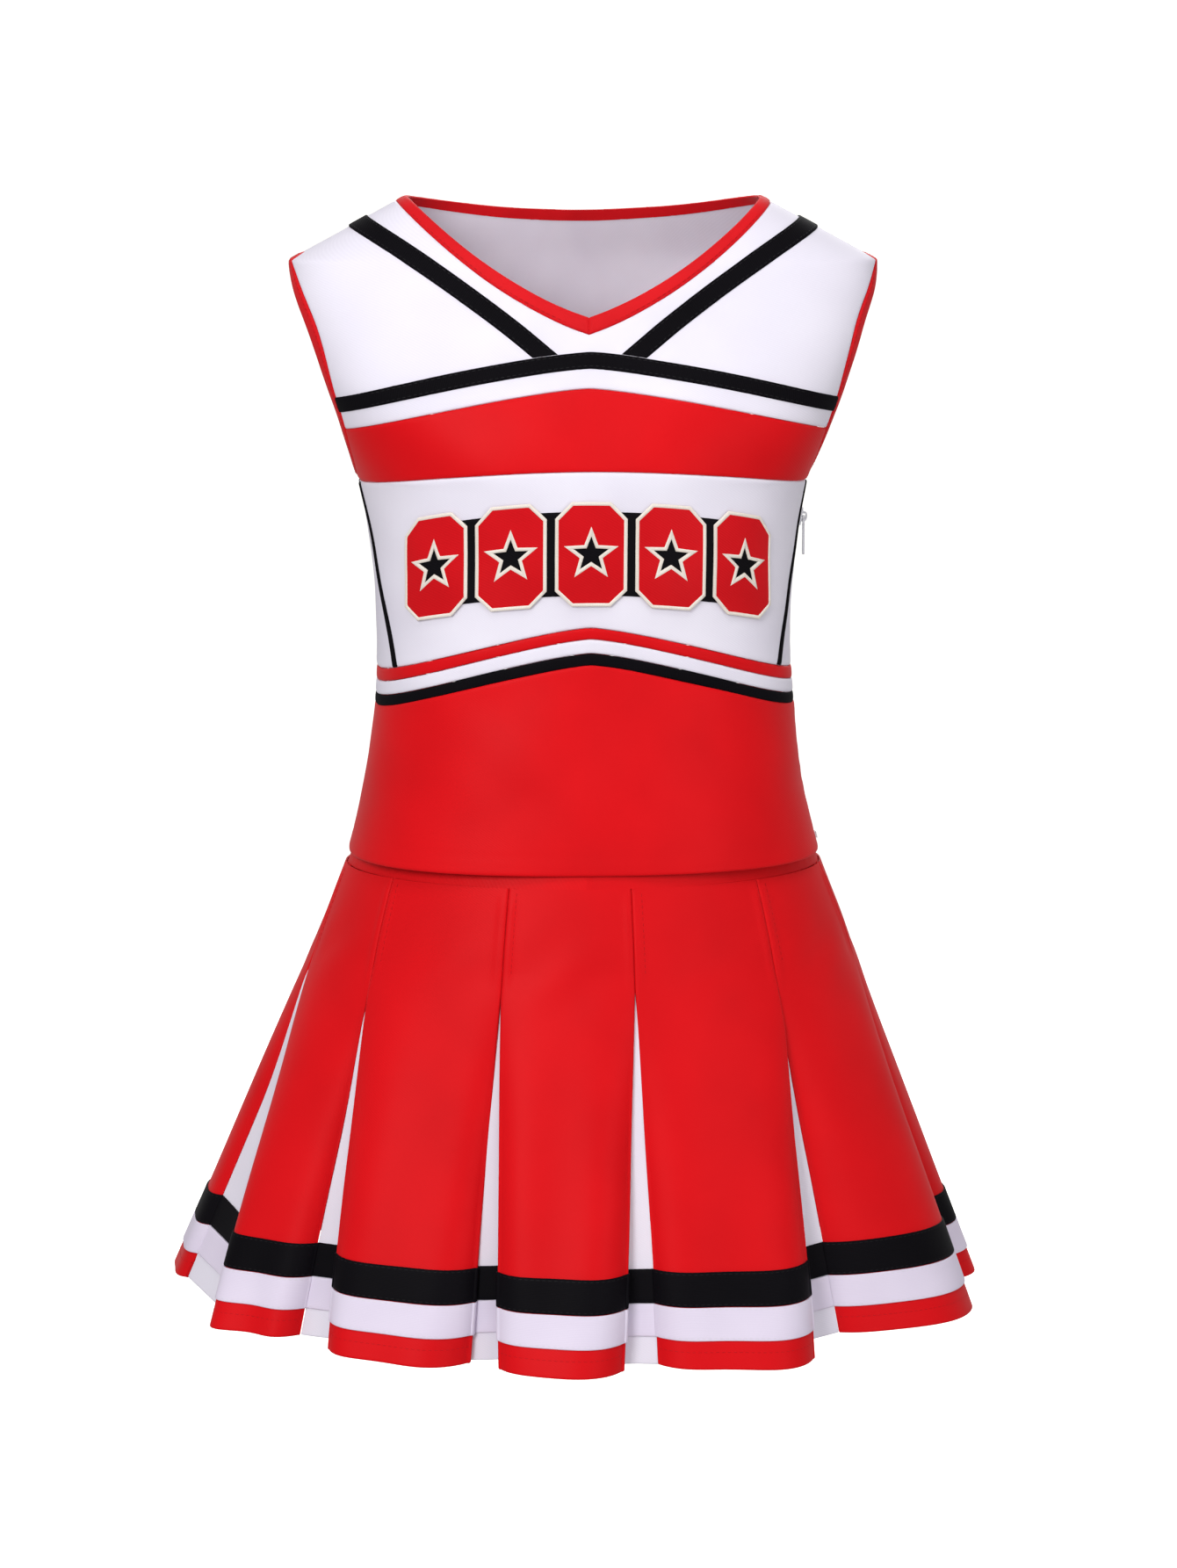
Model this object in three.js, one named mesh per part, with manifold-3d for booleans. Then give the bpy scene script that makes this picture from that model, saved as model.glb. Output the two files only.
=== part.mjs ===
// A child's cheer uniform: a sleeveless shell top and a pleated skirt.
// Millimetres, +Z up, the wearer faces -Y, +X is the wearer's left.
// The origin is the centre of the wearer's waist, level with the top edge of the skirt's waistband.

import * as THREE from 'three';
import { mergeVertices } from 'three/addons/utils/BufferGeometryUtils.js';
import Module from 'manifold-3d';

const wasm = await Module();
wasm.setup();

// ---------------------------------------------------------------- driving dimensions

const FABRIC = 1.2;          // sewn polyester, with its lining
const TRIM = 0.8;            // braid, ribbon and twill laid on the fabric
const GAP = 0.3;             // clearance between neighbours
const SMOOTHING = 0.06;      // finest detail kept on a cut piece
const REACH = 220;           // longer than any half-width, for cutting tools

// The top: heights
const TOP_HEM = -23;
const WAIST_Z = 109;         // narrowest level
const ARMPIT_Z = 205;
const SHOULDER_TIP_Z = 335;
const TOP_END_Z = 377;       // the cut neckline lies below this

// The top: half-widths
const SIDE_ARC_RADIUS = 485.2;   // the side of the body from hem to armpit is one hollow arc
const WAIST_HALF_WIDTH = 125.4;
const SIDE_ARC_X = WAIST_HALF_WIDTH + SIDE_ARC_RADIUS;
const SHOULDER_HALF_WIDTH = 176;
const SHOULDER_SLOPE = 1.843;    // half-width lost for each millimetre of rise

// Neckline: height where it crosses the centre, then how it climbs outwards
const NECK_FRONT_SEAM = 293.9;
const NECK_FRONT_EDGE = 303.6;
const NECK_BACK_SEAM = 354;
const NECK_BACK_EDGE = 363.9;
const NECK_HALF_WIDTH = 112;     // where the binding crosses the shoulder seam

// Armhole: an oval seen from the side
const ARMHOLE_BINDING = 9;
const ARMHOLE_HALF_DEPTH = 45;
const ARMHOLE_LOW = 206;
const ARMHOLE_HIGH = 340;

// Bands of the top, as heights at the centre front and at the side seam
const CHEST_BRAID_TOP = [283.7, 255.5];
const CHEST_BRAID_LOW = [274, 246];
const CHEST_BAND_TOP = [263, 236.3];
const CHEST_BAND_LOW = [215, 203];
const WAIST_EDGES = [[122.7, 90.5], [115.9, 82.9], [107.6, 74.8], [100.2, 68.3]];

// Side panels and their piping
const SIDE_PANEL_TOP_HALF = 12;
const SIDE_PANEL_LOW_HALF = 50;
const PIPING_WIDTH = 3.4;

// Zip in the wearer's left side seam
const ZIP_TOP = 192;
const ZIP_LOW = -20;
const ZIP_SLOT_HALF = 3;
const TAPE_HALF = 14;
const COIL_HALF = 2.4;
const SLIDER_Z = 180;
const SLIDER = { width: 7.6, length: 11, plate: 1.6 };
const PULL = { width: 5, length: 24, plate: 1.2, bar: 1.2 };

// Skirt: distances down the cloth are measured from the waistband's seam
const WAISTBAND_LOW = -31;
const SKIRT_LENGTH = 283;
const RELEASE = 51.5;            // pleats are stitched down to here
const FLARE_SIDE = 0.388;        // outward run for each millimetre of drop
const FLARE_FRONT = 0.23;
const FACE_CROWN = 8;
const CROWN_POWER = 2.6;        // above 2, a face is flatter in the middle and bends more at its edges
const TRIM_TOP = 226.5;
const TRIM_MIDDLE = 247;
const TRIM_HEM = 266.5;

// Each pleat seam: its angle at the waist and at the hem, and half of its opening at the hem. Then, for the
// edge of the panel before it and of the panel after it at the hem: how far it stands off the skirt's line,
// and how much lower it hangs.
const SEAMS = [
  { waist: 9.2, hem: 6.1, half: 10.4, before: 2, after: -6, lowBefore: 1, lowAfter: 0 },
  { waist: 43.3, hem: 35.3, half: 14.9, before: 4, after: -18, lowBefore: 6, lowAfter: 0 },
  { waist: 79, hem: 83, half: 20, before: 0, after: -10, lowBefore: 11, lowAfter: 9 },
  { waist: 111.7, hem: 115, half: 18, before: 2, after: -8, lowBefore: 4, lowAfter: 4 },
  { waist: 144.4, hem: 146, half: 14, before: 2, after: -8, lowBefore: 0, lowAfter: 0 },
  { waist: 177.1, hem: 177, half: 14, before: -8, after: 2, lowBefore: 0, lowAfter: 0 },
  { waist: 209.8, hem: 208, half: 14, before: -8, after: 2, lowBefore: 0, lowAfter: 0 },
  { waist: 242.5, hem: 239, half: 18, before: -8, after: 2, lowBefore: 0, lowAfter: 0 },
  { waist: 274, hem: 286, half: 30, before: 5, after: 4, lowBefore: -4, lowAfter: 6 },
  { waist: 306.5, hem: 316.6, half: 15, before: -12, after: 2, lowBefore: 2, lowAfter: 2 },
  { waist: 340.4, hem: 344.5, half: 9.5, before: -12, after: 3, lowBefore: 2, lowAfter: 0 },
];

// Emblem: five chamfered blocks with star cut-outs, on a backing strip
const BLOCKS = 5;
const BLOCK = { width: 40, height: 60, pitch: 47, chamfer: 9 };
const EMBLEM_CENTRE = 167;       // height of the middle block's centre
const EMBLEM_DROP = 9;           // how much lower the end blocks sit
const STAR_RADIUS = 14;

// ---------------------------------------------------------------- materials

const fabric = (color, roughness) =>
  new THREE.MeshStandardMaterial({ color, roughness, metalness: 0, side: THREE.DoubleSide });

const RED = fabric(0xd8141d, 0.6);
const WHITE = fabric(0xf1f0f6, 0.65);
const BLACK = fabric(0x18171b, 0.6);
const RED_BINDING = fabric(0xd61a22, 0.7);
const ELASTIC = fabric(0xe6e4df, 0.85);
const ZIP_FABRIC = fabric(0xf4f3f7, 0.5);
const ZIP_METAL = new THREE.MeshStandardMaterial({ color: 0xe9e9ee, roughness: 0.35, metalness: 0.4 });

const uniform = new THREE.Group();
uniform.name = 'cheer_uniform';

// ---------------------------------------------------------------- solids and meshes

// A closed geometry as a solid that can be joined and cut.
function toSolid(geometry) {
  const loose = geometry.index ? geometry.toNonIndexed() : geometry;
  const bare = new THREE.BufferGeometry().setAttribute('position', loose.getAttribute('position'));
  const merged = mergeVertices(bare, 1e-4);
  return new wasm.Manifold(new wasm.Mesh({
    numProp: 3,
    vertProperties: merged.attributes.position.array,
    triVerts: new Uint32Array(merged.index.array),
  }));
}

function toGeometry(solid) {
  const mesh = solid.simplify(SMOOTHING).getMesh();
  const geometry = new THREE.BufferGeometry();
  geometry.setAttribute('position', new THREE.BufferAttribute(mesh.vertProperties, 3));
  geometry.setIndex(new THREE.BufferAttribute(mesh.triVerts, 1));
  geometry.computeVertexNormals();
  return geometry;
}

function addPiece(name, solidOrGeometry, material, parent = uniform) {
  const geometry = solidOrGeometry.isBufferGeometry ? solidOrGeometry : toGeometry(solidOrGeometry);
  const mesh = new THREE.Mesh(geometry, material);
  mesh.name = name;
  parent.add(mesh);
  return mesh;
}

// A sheet of cloth with thickness. outer and inner hold rows of points from low to high, each row
// running anticlockwise seen from above. A closed sheet is a ring, an open one has two ends.
function sheetGeometry(outer, inner, closed) {
  const rows = outer.length;
  const columns = outer[0].length;
  const points = [...outer.flat(), ...inner.flat()];
  const at = (side, row, column) => (side * rows + row) * columns + (column % columns);
  const index = [];
  const quad = (a, b, c, d) => index.push(a, b, c, a, c, d);
  const last = rows - 1;
  for (let c = 0; c < (closed ? columns : columns - 1); c++) {
    for (let r = 0; r < last; r++) {
      quad(at(0, r, c), at(0, r, c + 1), at(0, r + 1, c + 1), at(0, r + 1, c));
      quad(at(1, r, c), at(1, r + 1, c), at(1, r + 1, c + 1), at(1, r, c + 1));
    }
    quad(at(1, 0, c), at(1, 0, c + 1), at(0, 0, c + 1), at(0, 0, c));
    quad(at(0, last, c), at(0, last, c + 1), at(1, last, c + 1), at(1, last, c));
  }
  for (let r = 0; !closed && r < last; r++) {
    const end = columns - 1;
    quad(at(0, r, 0), at(0, r + 1, 0), at(1, r + 1, 0), at(1, r, 0));
    quad(at(0, r, end), at(1, r, end), at(1, r + 1, end), at(0, r + 1, end));
  }
  const geometry = new THREE.BufferGeometry().setFromPoints(points);
  geometry.setIndex(index);
  geometry.computeVertexNormals();
  return geometry;
}

// ---------------------------------------------------------------- the body under the top

// A smooth curve through [position, value] pairs.
function through(pairs) {
  const curve = new THREE.CubicInterpolant(pairs.map((p) => p[0]), pairs.map((p) => p[1]), 1);
  return (x) => curve.evaluate(x)[0];
}

const armWidth = through([[205, 135.6], [219, 141], [240, 149], [261, 158], [293, 170], [315, 175.2],
  [335, SHOULDER_HALF_WIDTH]]);
const bodyDepth = through([[-40, 110], [-23, 108], [30, 101], [100, 92], [160, 95], [215, 99], [261, 88],
  [300, 73], [335, 62], [364, 47], [380, 40]]);

function halfWidth(z) {
  if (z <= ARMPIT_Z) return SIDE_ARC_X - Math.sqrt(SIDE_ARC_RADIUS ** 2 - (z - WAIST_Z) ** 2);
  if (z <= SHOULDER_TIP_Z) return armWidth(z);
  return SHOULDER_HALF_WIDTH - (z - SHOULDER_TIP_Z) * SHOULDER_SLOPE;
}

// Each level section is a rounded box: nearly an ellipse at the waist, squarer at the chest.
const squareness = (z) => 2.4 + 0.6 * THREE.MathUtils.smoothstep(z, 190, 265);

function bodyPoint(angle, z) {
  const power = squareness(z);
  const across = Math.abs(Math.sin(angle) / halfWidth(z)) ** power;
  const through_ = Math.abs(Math.cos(angle) / bodyDepth(z)) ** power;
  const radius = (across + through_) ** (-1 / power);
  return new THREE.Vector3(radius * Math.sin(angle), -radius * Math.cos(angle), z);
}

function bodyNormal(angle, z) {
  const turn = 0.004;
  const rise = 1.5;
  const around = bodyPoint(angle + turn, z).sub(bodyPoint(angle - turn, z));
  const up = bodyPoint(angle, z + rise).sub(bodyPoint(angle, z - rise));
  return around.cross(up).normalize();
}

const COLUMNS = 32;
const ROWS = [TOP_HEM, 5, 35, 65, 95, 125, 155, 180, 205, 230, 260, 290, 318, SHOULDER_TIP_Z, 347, 360,
  TOP_END_Z];

// The whole body surface, hem to neck, as a closed sheet between two distances off it.
function bodyShell(inner, outer) {
  const layer = (offset) => ROWS.map((z) => Array.from({ length: COLUMNS }, (_, column) => {
    const angle = (column / COLUMNS) * 2 * Math.PI;
    return bodyPoint(angle, z).addScaledVector(bodyNormal(angle, z), offset);
  }));
  return toSolid(sheetGeometry(layer(outer), layer(inner), true));
}

const fabricShell = bodyShell(-FABRIC / 2, FABRIC / 2);
const trimShell = bodyShell(FABRIC / 2 + GAP, FABRIC / 2 + GAP + TRIM);
const blockShell = bodyShell(FABRIC / 2 + 2 * GAP + TRIM, FABRIC / 2 + 2 * GAP + 2 * TRIM);

// ---------------------------------------------------------------- cutting tools

// An outline in X and Z, extruded from y = near away from the body's middle.
// side is -1 for the front and 1 for the back.
function prismThroughDepth(outline, side, near = GAP / 2) {
  const shape = new THREE.Shape(outline.map(([x, z]) => new THREE.Vector2(x, z)));
  const geometry = new THREE.ExtrudeGeometry(shape, { depth: REACH, bevelEnabled: false });
  geometry.applyMatrix4(new THREE.Matrix4().makeBasis(
    new THREE.Vector3(1, 0, 0), new THREE.Vector3(0, 0, 1), new THREE.Vector3(0, -1, 0)));
  geometry.translate(0, side < 0 ? -near : REACH + near, 0);
  return toSolid(geometry);
}

// An outline in Y and Z, extruded outwards on one side of the body: side 1 is the wearer's left.
function prismThroughSide(outline, side, near = 60) {
  const shape = new THREE.Shape(outline.map(([y, z]) => new THREE.Vector2(y, z)));
  const geometry = new THREE.ExtrudeGeometry(shape, { depth: REACH, bevelEnabled: false });
  geometry.applyMatrix4(new THREE.Matrix4().makeBasis(
    new THREE.Vector3(0, 1, 0), new THREE.Vector3(0, 0, 1), new THREE.Vector3(1, 0, 0)));
  geometry.translate(side > 0 ? near : -REACH - near, 0, 0);
  return toSolid(geometry);
}

const SAMPLES = 15;
const across = (from, to) => Array.from({ length: SAMPLES }, (_, i) => from + ((to - from) * i) / (SAMPLES - 1));

// The region between two height curves, as an outline in X and Z.
const band = (low, high, reach = REACH) => [
  ...across(-reach, reach).map((x) => [x, low(x)]),
  ...across(reach, -reach).map((x) => [x, high(x)]),
];

// A chevron's height across the front: a point at the centre, level beyond the side seam.
const chevron = ([apex, side], width = WAIST_HALF_WIDTH, bend = 1.35) => (x) =>
  side + (apex - side) * (1 - Math.min(1, Math.abs(x) / width) ** bend);
const level = (z) => () => z;
const shifted = (curve, by) => (x) => curve(x) + by;
const half = GAP / 2;

// Bands sample the apex and the side seam exactly, because both are multiples of their spacing.
function chevronBand(low, high) {
  const xs = [-REACH, ...Array.from({ length: 11 }, (_, i) => -150 + 30 * i), REACH];
  return [...xs.map((x) => [x, low(x)]), ...xs.reverse().map((x) => [x, high(x)])];
}

const frontBand = (low, high, near) => prismThroughDepth(chevronBand(low, high), -1, near);
const backBand = (low, high, near) => prismThroughDepth(chevronBand(level(low), level(high)), 1, near);

// Neckline curves: height at a distance from the centre.
const neckFront = (centre) => (x) => centre + 0.33 * Math.abs(x) + 0.00312 * x * x;
const neckBack = (centre) => (x) => centre + ((centre === NECK_BACK_SEAM) ? 0.001255 : 0.00082) * x * x;

function oval(inset) {
  const middle = (ARMHOLE_LOW + ARMHOLE_HIGH) / 2;
  const rise = (ARMHOLE_HIGH - ARMHOLE_LOW) / 2 - inset;
  const reach = ARMHOLE_HALF_DEPTH - inset;
  return Array.from({ length: 24 }, (_, i) => {
    const a = (i / 24) * 2 * Math.PI;
    return [reach * Math.cos(a), middle + rise * Math.sin(a)];
  });
}

const armhole = (side, inset) => prismThroughSide(oval(inset), side);
const withoutArmholes = (solid) => solid.subtract(armhole(1, -GAP)).subtract(armhole(-1, -GAP));

// Half-depth of the side panel at a height: narrow under the arm, wide at the waist.
function sidePanelHalf(z) {
  const down = THREE.MathUtils.clamp((ARMPIT_Z - 2 - z) / (ARMPIT_Z - 85), 0, 1);
  return SIDE_PANEL_TOP_HALF + (SIDE_PANEL_LOW_HALF - SIDE_PANEL_TOP_HALF) * down ** 0.85;
}

// The side panel's outline in Y and Z, grown by some millimetres.
function sidePanelOutline(grow) {
  const heights = [40, 70, 85, 105, 125, 145, 165, 180, 192, 200, ARMPIT_Z - 2 + grow];
  return [
    ...heights.map((z) => [-sidePanelHalf(z) - grow, z]),
    ...heights.reverse().map((z) => [sidePanelHalf(z) + grow, z]),
  ];
}

const zipSlot = prismThroughSide(
  [[-ZIP_SLOT_HALF, TOP_HEM - 20], [ZIP_SLOT_HALF, TOP_HEM - 20], [ZIP_SLOT_HALF, ZIP_TOP],
    [-ZIP_SLOT_HALF, ZIP_TOP]], 1);

// ---------------------------------------------------------------- yokes, bands and braids of the chest

const bandTop = chevron(CHEST_BAND_TOP, 143);
const bandLow = chevron(CHEST_BAND_LOW, 137, 2);

function yoke(side, low, neck) {
  const opening = prismThroughDepth(band(shifted(neck, -half), level(REACH * 2), NECK_HALF_WIDTH), side, 0);
  const cloth = fabricShell.intersect(prismThroughDepth(chevronBand(low, level(REACH * 2)), side));
  return withoutArmholes(cloth.subtract(opening));
}

addPiece('front_yoke', yoke(-1, shifted(bandTop, half), neckFront(NECK_FRONT_SEAM)), WHITE);
addPiece('back_yoke', yoke(1, level(CHEST_BAND_TOP[1] + half), neckBack(NECK_BACK_SEAM)), WHITE);
addPiece('chest_band_front', withoutArmholes(fabricShell.intersect(
  frontBand(shifted(bandLow, half), shifted(bandTop, -half)))), RED);
addPiece('chest_band_back', withoutArmholes(fabricShell.intersect(
  backBand(CHEST_BAND_LOW[1] + half, CHEST_BAND_TOP[1] - half))), RED);
addPiece('chest_braid_front', withoutArmholes(trimShell.intersect(
  frontBand(chevron(CHEST_BRAID_LOW, 149), chevron(CHEST_BRAID_TOP, 149)))), BLACK);
addPiece('chest_braid_back', withoutArmholes(trimShell.intersect(
  backBand(CHEST_BRAID_LOW[1], CHEST_BRAID_TOP[1]))), BLACK);

// A braid runs from the shoulder seam down to the chest braid, along a slightly bowed line.
const BRAID_WIDTH = 11;
const braidLine = new THREE.QuadraticBezierCurve(
  new THREE.Vector2(146, 364), new THREE.Vector2(78, 326), new THREE.Vector2(14, 271));

function braidOutline(side) {
  const edge = (offset) => Array.from({ length: 9 }, (_, i) => {
    const point = braidLine.getPoint(i / 8);
    const along = braidLine.getTangent(i / 8);
    return [side * (point.x - along.y * offset), point.y + along.x * offset];
  });
  return [...edge(BRAID_WIDTH / 2), ...edge(-BRAID_WIDTH / 2).reverse()];
}

const aboveChestBraid = frontBand(shifted(chevron(CHEST_BRAID_TOP, 149), GAP), level(REACH * 2));
for (const [name, side] of [['left', 1], ['right', -1]]) {
  addPiece(`shoulder_braid_${name}`, trimShell
    .intersect(prismThroughDepth(braidOutline(side), -1))
    .intersect(aboveChestBraid), BLACK);
}

// ---------------------------------------------------------------- midriff, side panels and piping

const [redTop, redLow, whiteLow, blackLow] = WAIST_EDGES.map((edge) => chevron(edge));
const [redTopSide, redLowSide, whiteLowSide, blackLowSide] = WAIST_EDGES.map((edge) => edge[1]);
const sideRegions = [1, -1].map((side) => prismThroughSide(sidePanelOutline(half), side));
const withoutSides = (solid) => solid.subtract(sideRegions[0]).subtract(sideRegions[1]);

addPiece('midriff_front', withoutSides(fabricShell.intersect(
  frontBand(shifted(redTop, half), shifted(bandLow, -half)))), WHITE);
addPiece('midriff_back', withoutSides(fabricShell.intersect(
  backBand(redTopSide + half, CHEST_BAND_LOW[1] - half))), WHITE);

// Everything between the waist stripes and the chest bands, all the way round.
const midriffZone = frontBand(shifted(redTop, half), shifted(bandLow, -half), 0)
  .add(backBand(redTopSide + half, CHEST_BAND_LOW[1] - half, 0));
for (const [name, side] of [['left', 1], ['right', -1]]) {
  const panel = fabricShell.intersect(midriffZone).intersect(prismThroughSide(sidePanelOutline(-half), side));
  addPiece(`side_panel_${name}`, side > 0 ? panel.subtract(zipSlot) : panel, WHITE);
  const piping = trimShell.intersect(midriffZone)
    .intersect(prismThroughSide(sidePanelOutline(PIPING_WIDTH / 2), side))
    .subtract(prismThroughSide(sidePanelOutline(-PIPING_WIDTH / 2), side));
  addPiece(`side_piping_${name}`, piping, BLACK);
}

// ---------------------------------------------------------------- waist stripes and the red lower part

function waistStripe(name, low, high, lowSide, highSide, material) {
  const zone = frontBand(shifted(low, half), shifted(high, -half), 0)
    .add(backBand(lowSide + half, highSide - half, 0));
  addPiece(name, fabricShell.intersect(zone).subtract(zipSlot), material);
}

waistStripe('waist_stripe_red', redLow, redTop, redLowSide, redTopSide, RED);
waistStripe('waist_stripe_white', whiteLow, redLow, whiteLowSide, redLowSide, WHITE);
waistStripe('waist_stripe_black', blackLow, whiteLow, blackLowSide, whiteLowSide, BLACK);

addPiece('lower_front', fabricShell.intersect(
  frontBand(level(TOP_HEM - 5), shifted(blackLow, -half))).subtract(zipSlot), RED);
addPiece('lower_back', fabricShell.intersect(
  backBand(TOP_HEM - 5, blackLowSide - half)).subtract(zipSlot), RED);

// ---------------------------------------------------------------- bindings

const neckRing = prismThroughDepth(
  band(neckFront(NECK_FRONT_SEAM), neckFront(NECK_FRONT_EDGE), NECK_HALF_WIDTH), -1, 0)
  .add(prismThroughDepth(
    band(neckBack(NECK_BACK_SEAM), neckBack(NECK_BACK_EDGE), NECK_HALF_WIDTH), 1, 0));
addPiece('neck_binding', fabricShell.intersect(neckRing), RED_BINDING);
for (const [name, side] of [['left', 1], ['right', -1]]) {
  addPiece(`armhole_binding_${name}`,
    fabricShell.intersect(armhole(side, 0)).subtract(armhole(side, ARMHOLE_BINDING)), RED_BINDING);
}

// ---------------------------------------------------------------- emblem

// How far from the centre a point lies after wrapping a length of cloth round the front.
function wrap(length, z) {
  const step = 0.01;
  let walked = 0;
  let angle = 0;
  while (walked < Math.abs(length)) {
    walked += bodyPoint(angle + step, z).distanceTo(bodyPoint(angle, z));
    angle += step;
  }
  return Math.sign(length) * bodyPoint(angle, z).x;
}

const emblemDrop = (length) => EMBLEM_DROP * (length / (BLOCK.pitch * 2)) ** 2;
const onEmblem = (length, height) => [
  wrap(length, EMBLEM_CENTRE),
  EMBLEM_CENTRE + height - emblemDrop(length),
];

function chamferedBlock(centre) {
  const w = BLOCK.width / 2;
  const h = BLOCK.height / 2;
  const c = BLOCK.chamfer;
  return [[w, -h + c], [w, h - c], [w - c, h], [-w + c, h], [-w, h - c], [-w, -h + c], [-w + c, -h],
    [w - c, -h]].map(([x, z]) => onEmblem(centre + x, z));
}

function star(centre) {
  return Array.from({ length: 10 }, (_, i) => {
    const a = (i / 10) * 2 * Math.PI + Math.PI / 2;
    const r = i % 2 ? STAR_RADIUS * 0.42 : STAR_RADIUS;
    return onEmblem(centre + r * Math.cos(a), r * Math.sin(a));
  });
}

function backingStrip() {
  const end = BLOCK.pitch * 2 + BLOCK.width / 2 - 4;
  const tall = BLOCK.height / 2 - 5;
  const lengths = across(-end, end);
  return [...lengths.map((s) => onEmblem(s, -tall)), ...lengths.reverse().map((s) => onEmblem(s, tall))];
}

addPiece('emblem_backing', trimShell.intersect(prismThroughDepth(backingStrip(), -1)), BLACK);
for (let i = 0; i < BLOCKS; i++) {
  const centre = (i - (BLOCKS - 1) / 2) * BLOCK.pitch;
  addPiece(`emblem_block_${i + 1}`, blockShell
    .intersect(prismThroughDepth(chamferedBlock(centre), -1))
    .subtract(prismThroughDepth(star(centre), -1)), RED);
}

// ---------------------------------------------------------------- zip

const TAPE_OUT = -FABRIC / 2 - 0.5;
const COIL_OUT = 0.4;
const tapeShell = bodyShell(TAPE_OUT - TRIM, TAPE_OUT);
const coilShell = bodyShell(TAPE_OUT - TRIM / 2, COIL_OUT);
const stopShell = bodyShell(COIL_OUT + GAP, COIL_OUT + GAP + 1.2);

const upright = (y0, y1, z0, z1) => prismThroughSide([[y0, z0], [y1, z0], [y1, z1], [y0, z1]], 1);

for (const [name, side] of [['front', -1], ['back', 1]]) {
  const ordered = (a, b) => [Math.min(side * a, side * b), Math.max(side * a, side * b)];
  const tape = tapeShell.intersect(upright(...ordered(0.25, TAPE_HALF), ZIP_LOW, ZIP_TOP + 8));
  const coil = coilShell.intersect(upright(...ordered(0.25, COIL_HALF), ZIP_LOW, ZIP_TOP - 1));
  addPiece(`zip_tape_${name}`, tape.add(coil), ZIP_FABRIC);
}
addPiece('zip_top_stop', stopShell.intersect(upright(-2.3, 2.3, ZIP_TOP - 4, ZIP_TOP - 1)), ZIP_METAL);
addPiece('zip_bottom_stop', stopShell.intersect(upright(-2.3, 2.3, ZIP_LOW + 1, ZIP_LOW + 5)), ZIP_METAL);

// The slider's own frame: origin on the body surface, X outwards, Z along the zip.
const sliderFrame = new THREE.Group();
sliderFrame.position.copy(bodyPoint(Math.PI / 2, SLIDER_Z));
sliderFrame.rotation.y = Math.asin((SLIDER_Z - WAIST_Z) / SIDE_ARC_RADIUS);
uniform.add(sliderFrame);

const PLATE_NEAR = FABRIC / 2 + 0.4;
const PLATE_FAR = PLATE_NEAR + SLIDER.plate;
const BAR_AXIS = PLATE_FAR + 1.2;
const LUG = { width: 2.4, length: 6.4, rise: 3.4, hole: 3.4, holeRise: 2.2, low: 0.3 };

// An outline in Y and Z of the slider's frame, extruded outwards from a distance.
function plate(shape, near, thickness) {
  const geometry = new THREE.ExtrudeGeometry(shape, { depth: thickness, bevelEnabled: false, curveSegments: 6 });
  geometry.applyMatrix4(new THREE.Matrix4().makeBasis(
    new THREE.Vector3(0, 1, 0), new THREE.Vector3(0, 0, 1), new THREE.Vector3(1, 0, 0)));
  return geometry.translate(near, 0, 0);
}

function sliderSolid() {
  const w = SLIDER.width / 2;
  const l = SLIDER.length / 2;
  const outline = new THREE.Shape();
  outline.moveTo(-w * 0.7, -l);
  outline.lineTo(w * 0.7, -l);
  outline.quadraticCurveTo(w, -l * 0.2, w, l * 0.4);
  outline.quadraticCurveTo(w, l, w * 0.4, l);
  outline.lineTo(0, l * 0.75);
  outline.lineTo(-w * 0.4, l);
  outline.quadraticCurveTo(-w, l, -w, l * 0.4);
  outline.quadraticCurveTo(-w, -l * 0.2, -w * 0.7, -l);
  const body = toSolid(plate(outline, PLATE_NEAR, SLIDER.plate));

  // The lug is an arch seen from the side, with a hole for the pull's bar.
  const arch = new THREE.Shape();
  const far = PLATE_FAR + LUG.rise;
  arch.moveTo(PLATE_FAR - LUG.low, -LUG.length / 2);
  arch.lineTo(PLATE_FAR + 1, -LUG.length / 2);
  arch.quadraticCurveTo(far, -LUG.length / 2, far, 0);
  arch.quadraticCurveTo(far, LUG.length / 2, PLATE_FAR + 1, LUG.length / 2);
  arch.lineTo(PLATE_FAR - LUG.low, LUG.length / 2);
  const hole = new THREE.Path();
  const holeFar = PLATE_FAR + 0.1 + LUG.holeRise;
  hole.moveTo(PLATE_FAR + 0.1, -LUG.hole / 2);
  hole.lineTo(PLATE_FAR + 0.1, LUG.hole / 2);
  hole.lineTo(holeFar, LUG.hole / 2);
  hole.lineTo(holeFar, -LUG.hole / 2);
  arch.holes.push(hole);
  const lug = new THREE.ExtrudeGeometry(arch, { depth: LUG.width, bevelEnabled: false, curveSegments: 5 });
  lug.applyMatrix4(new THREE.Matrix4().makeBasis(
    new THREE.Vector3(1, 0, 0), new THREE.Vector3(0, 0, 1), new THREE.Vector3(0, -1, 0)));
  lug.translate(0, LUG.width / 2, 0);
  return body.add(toSolid(lug));
}

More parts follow.
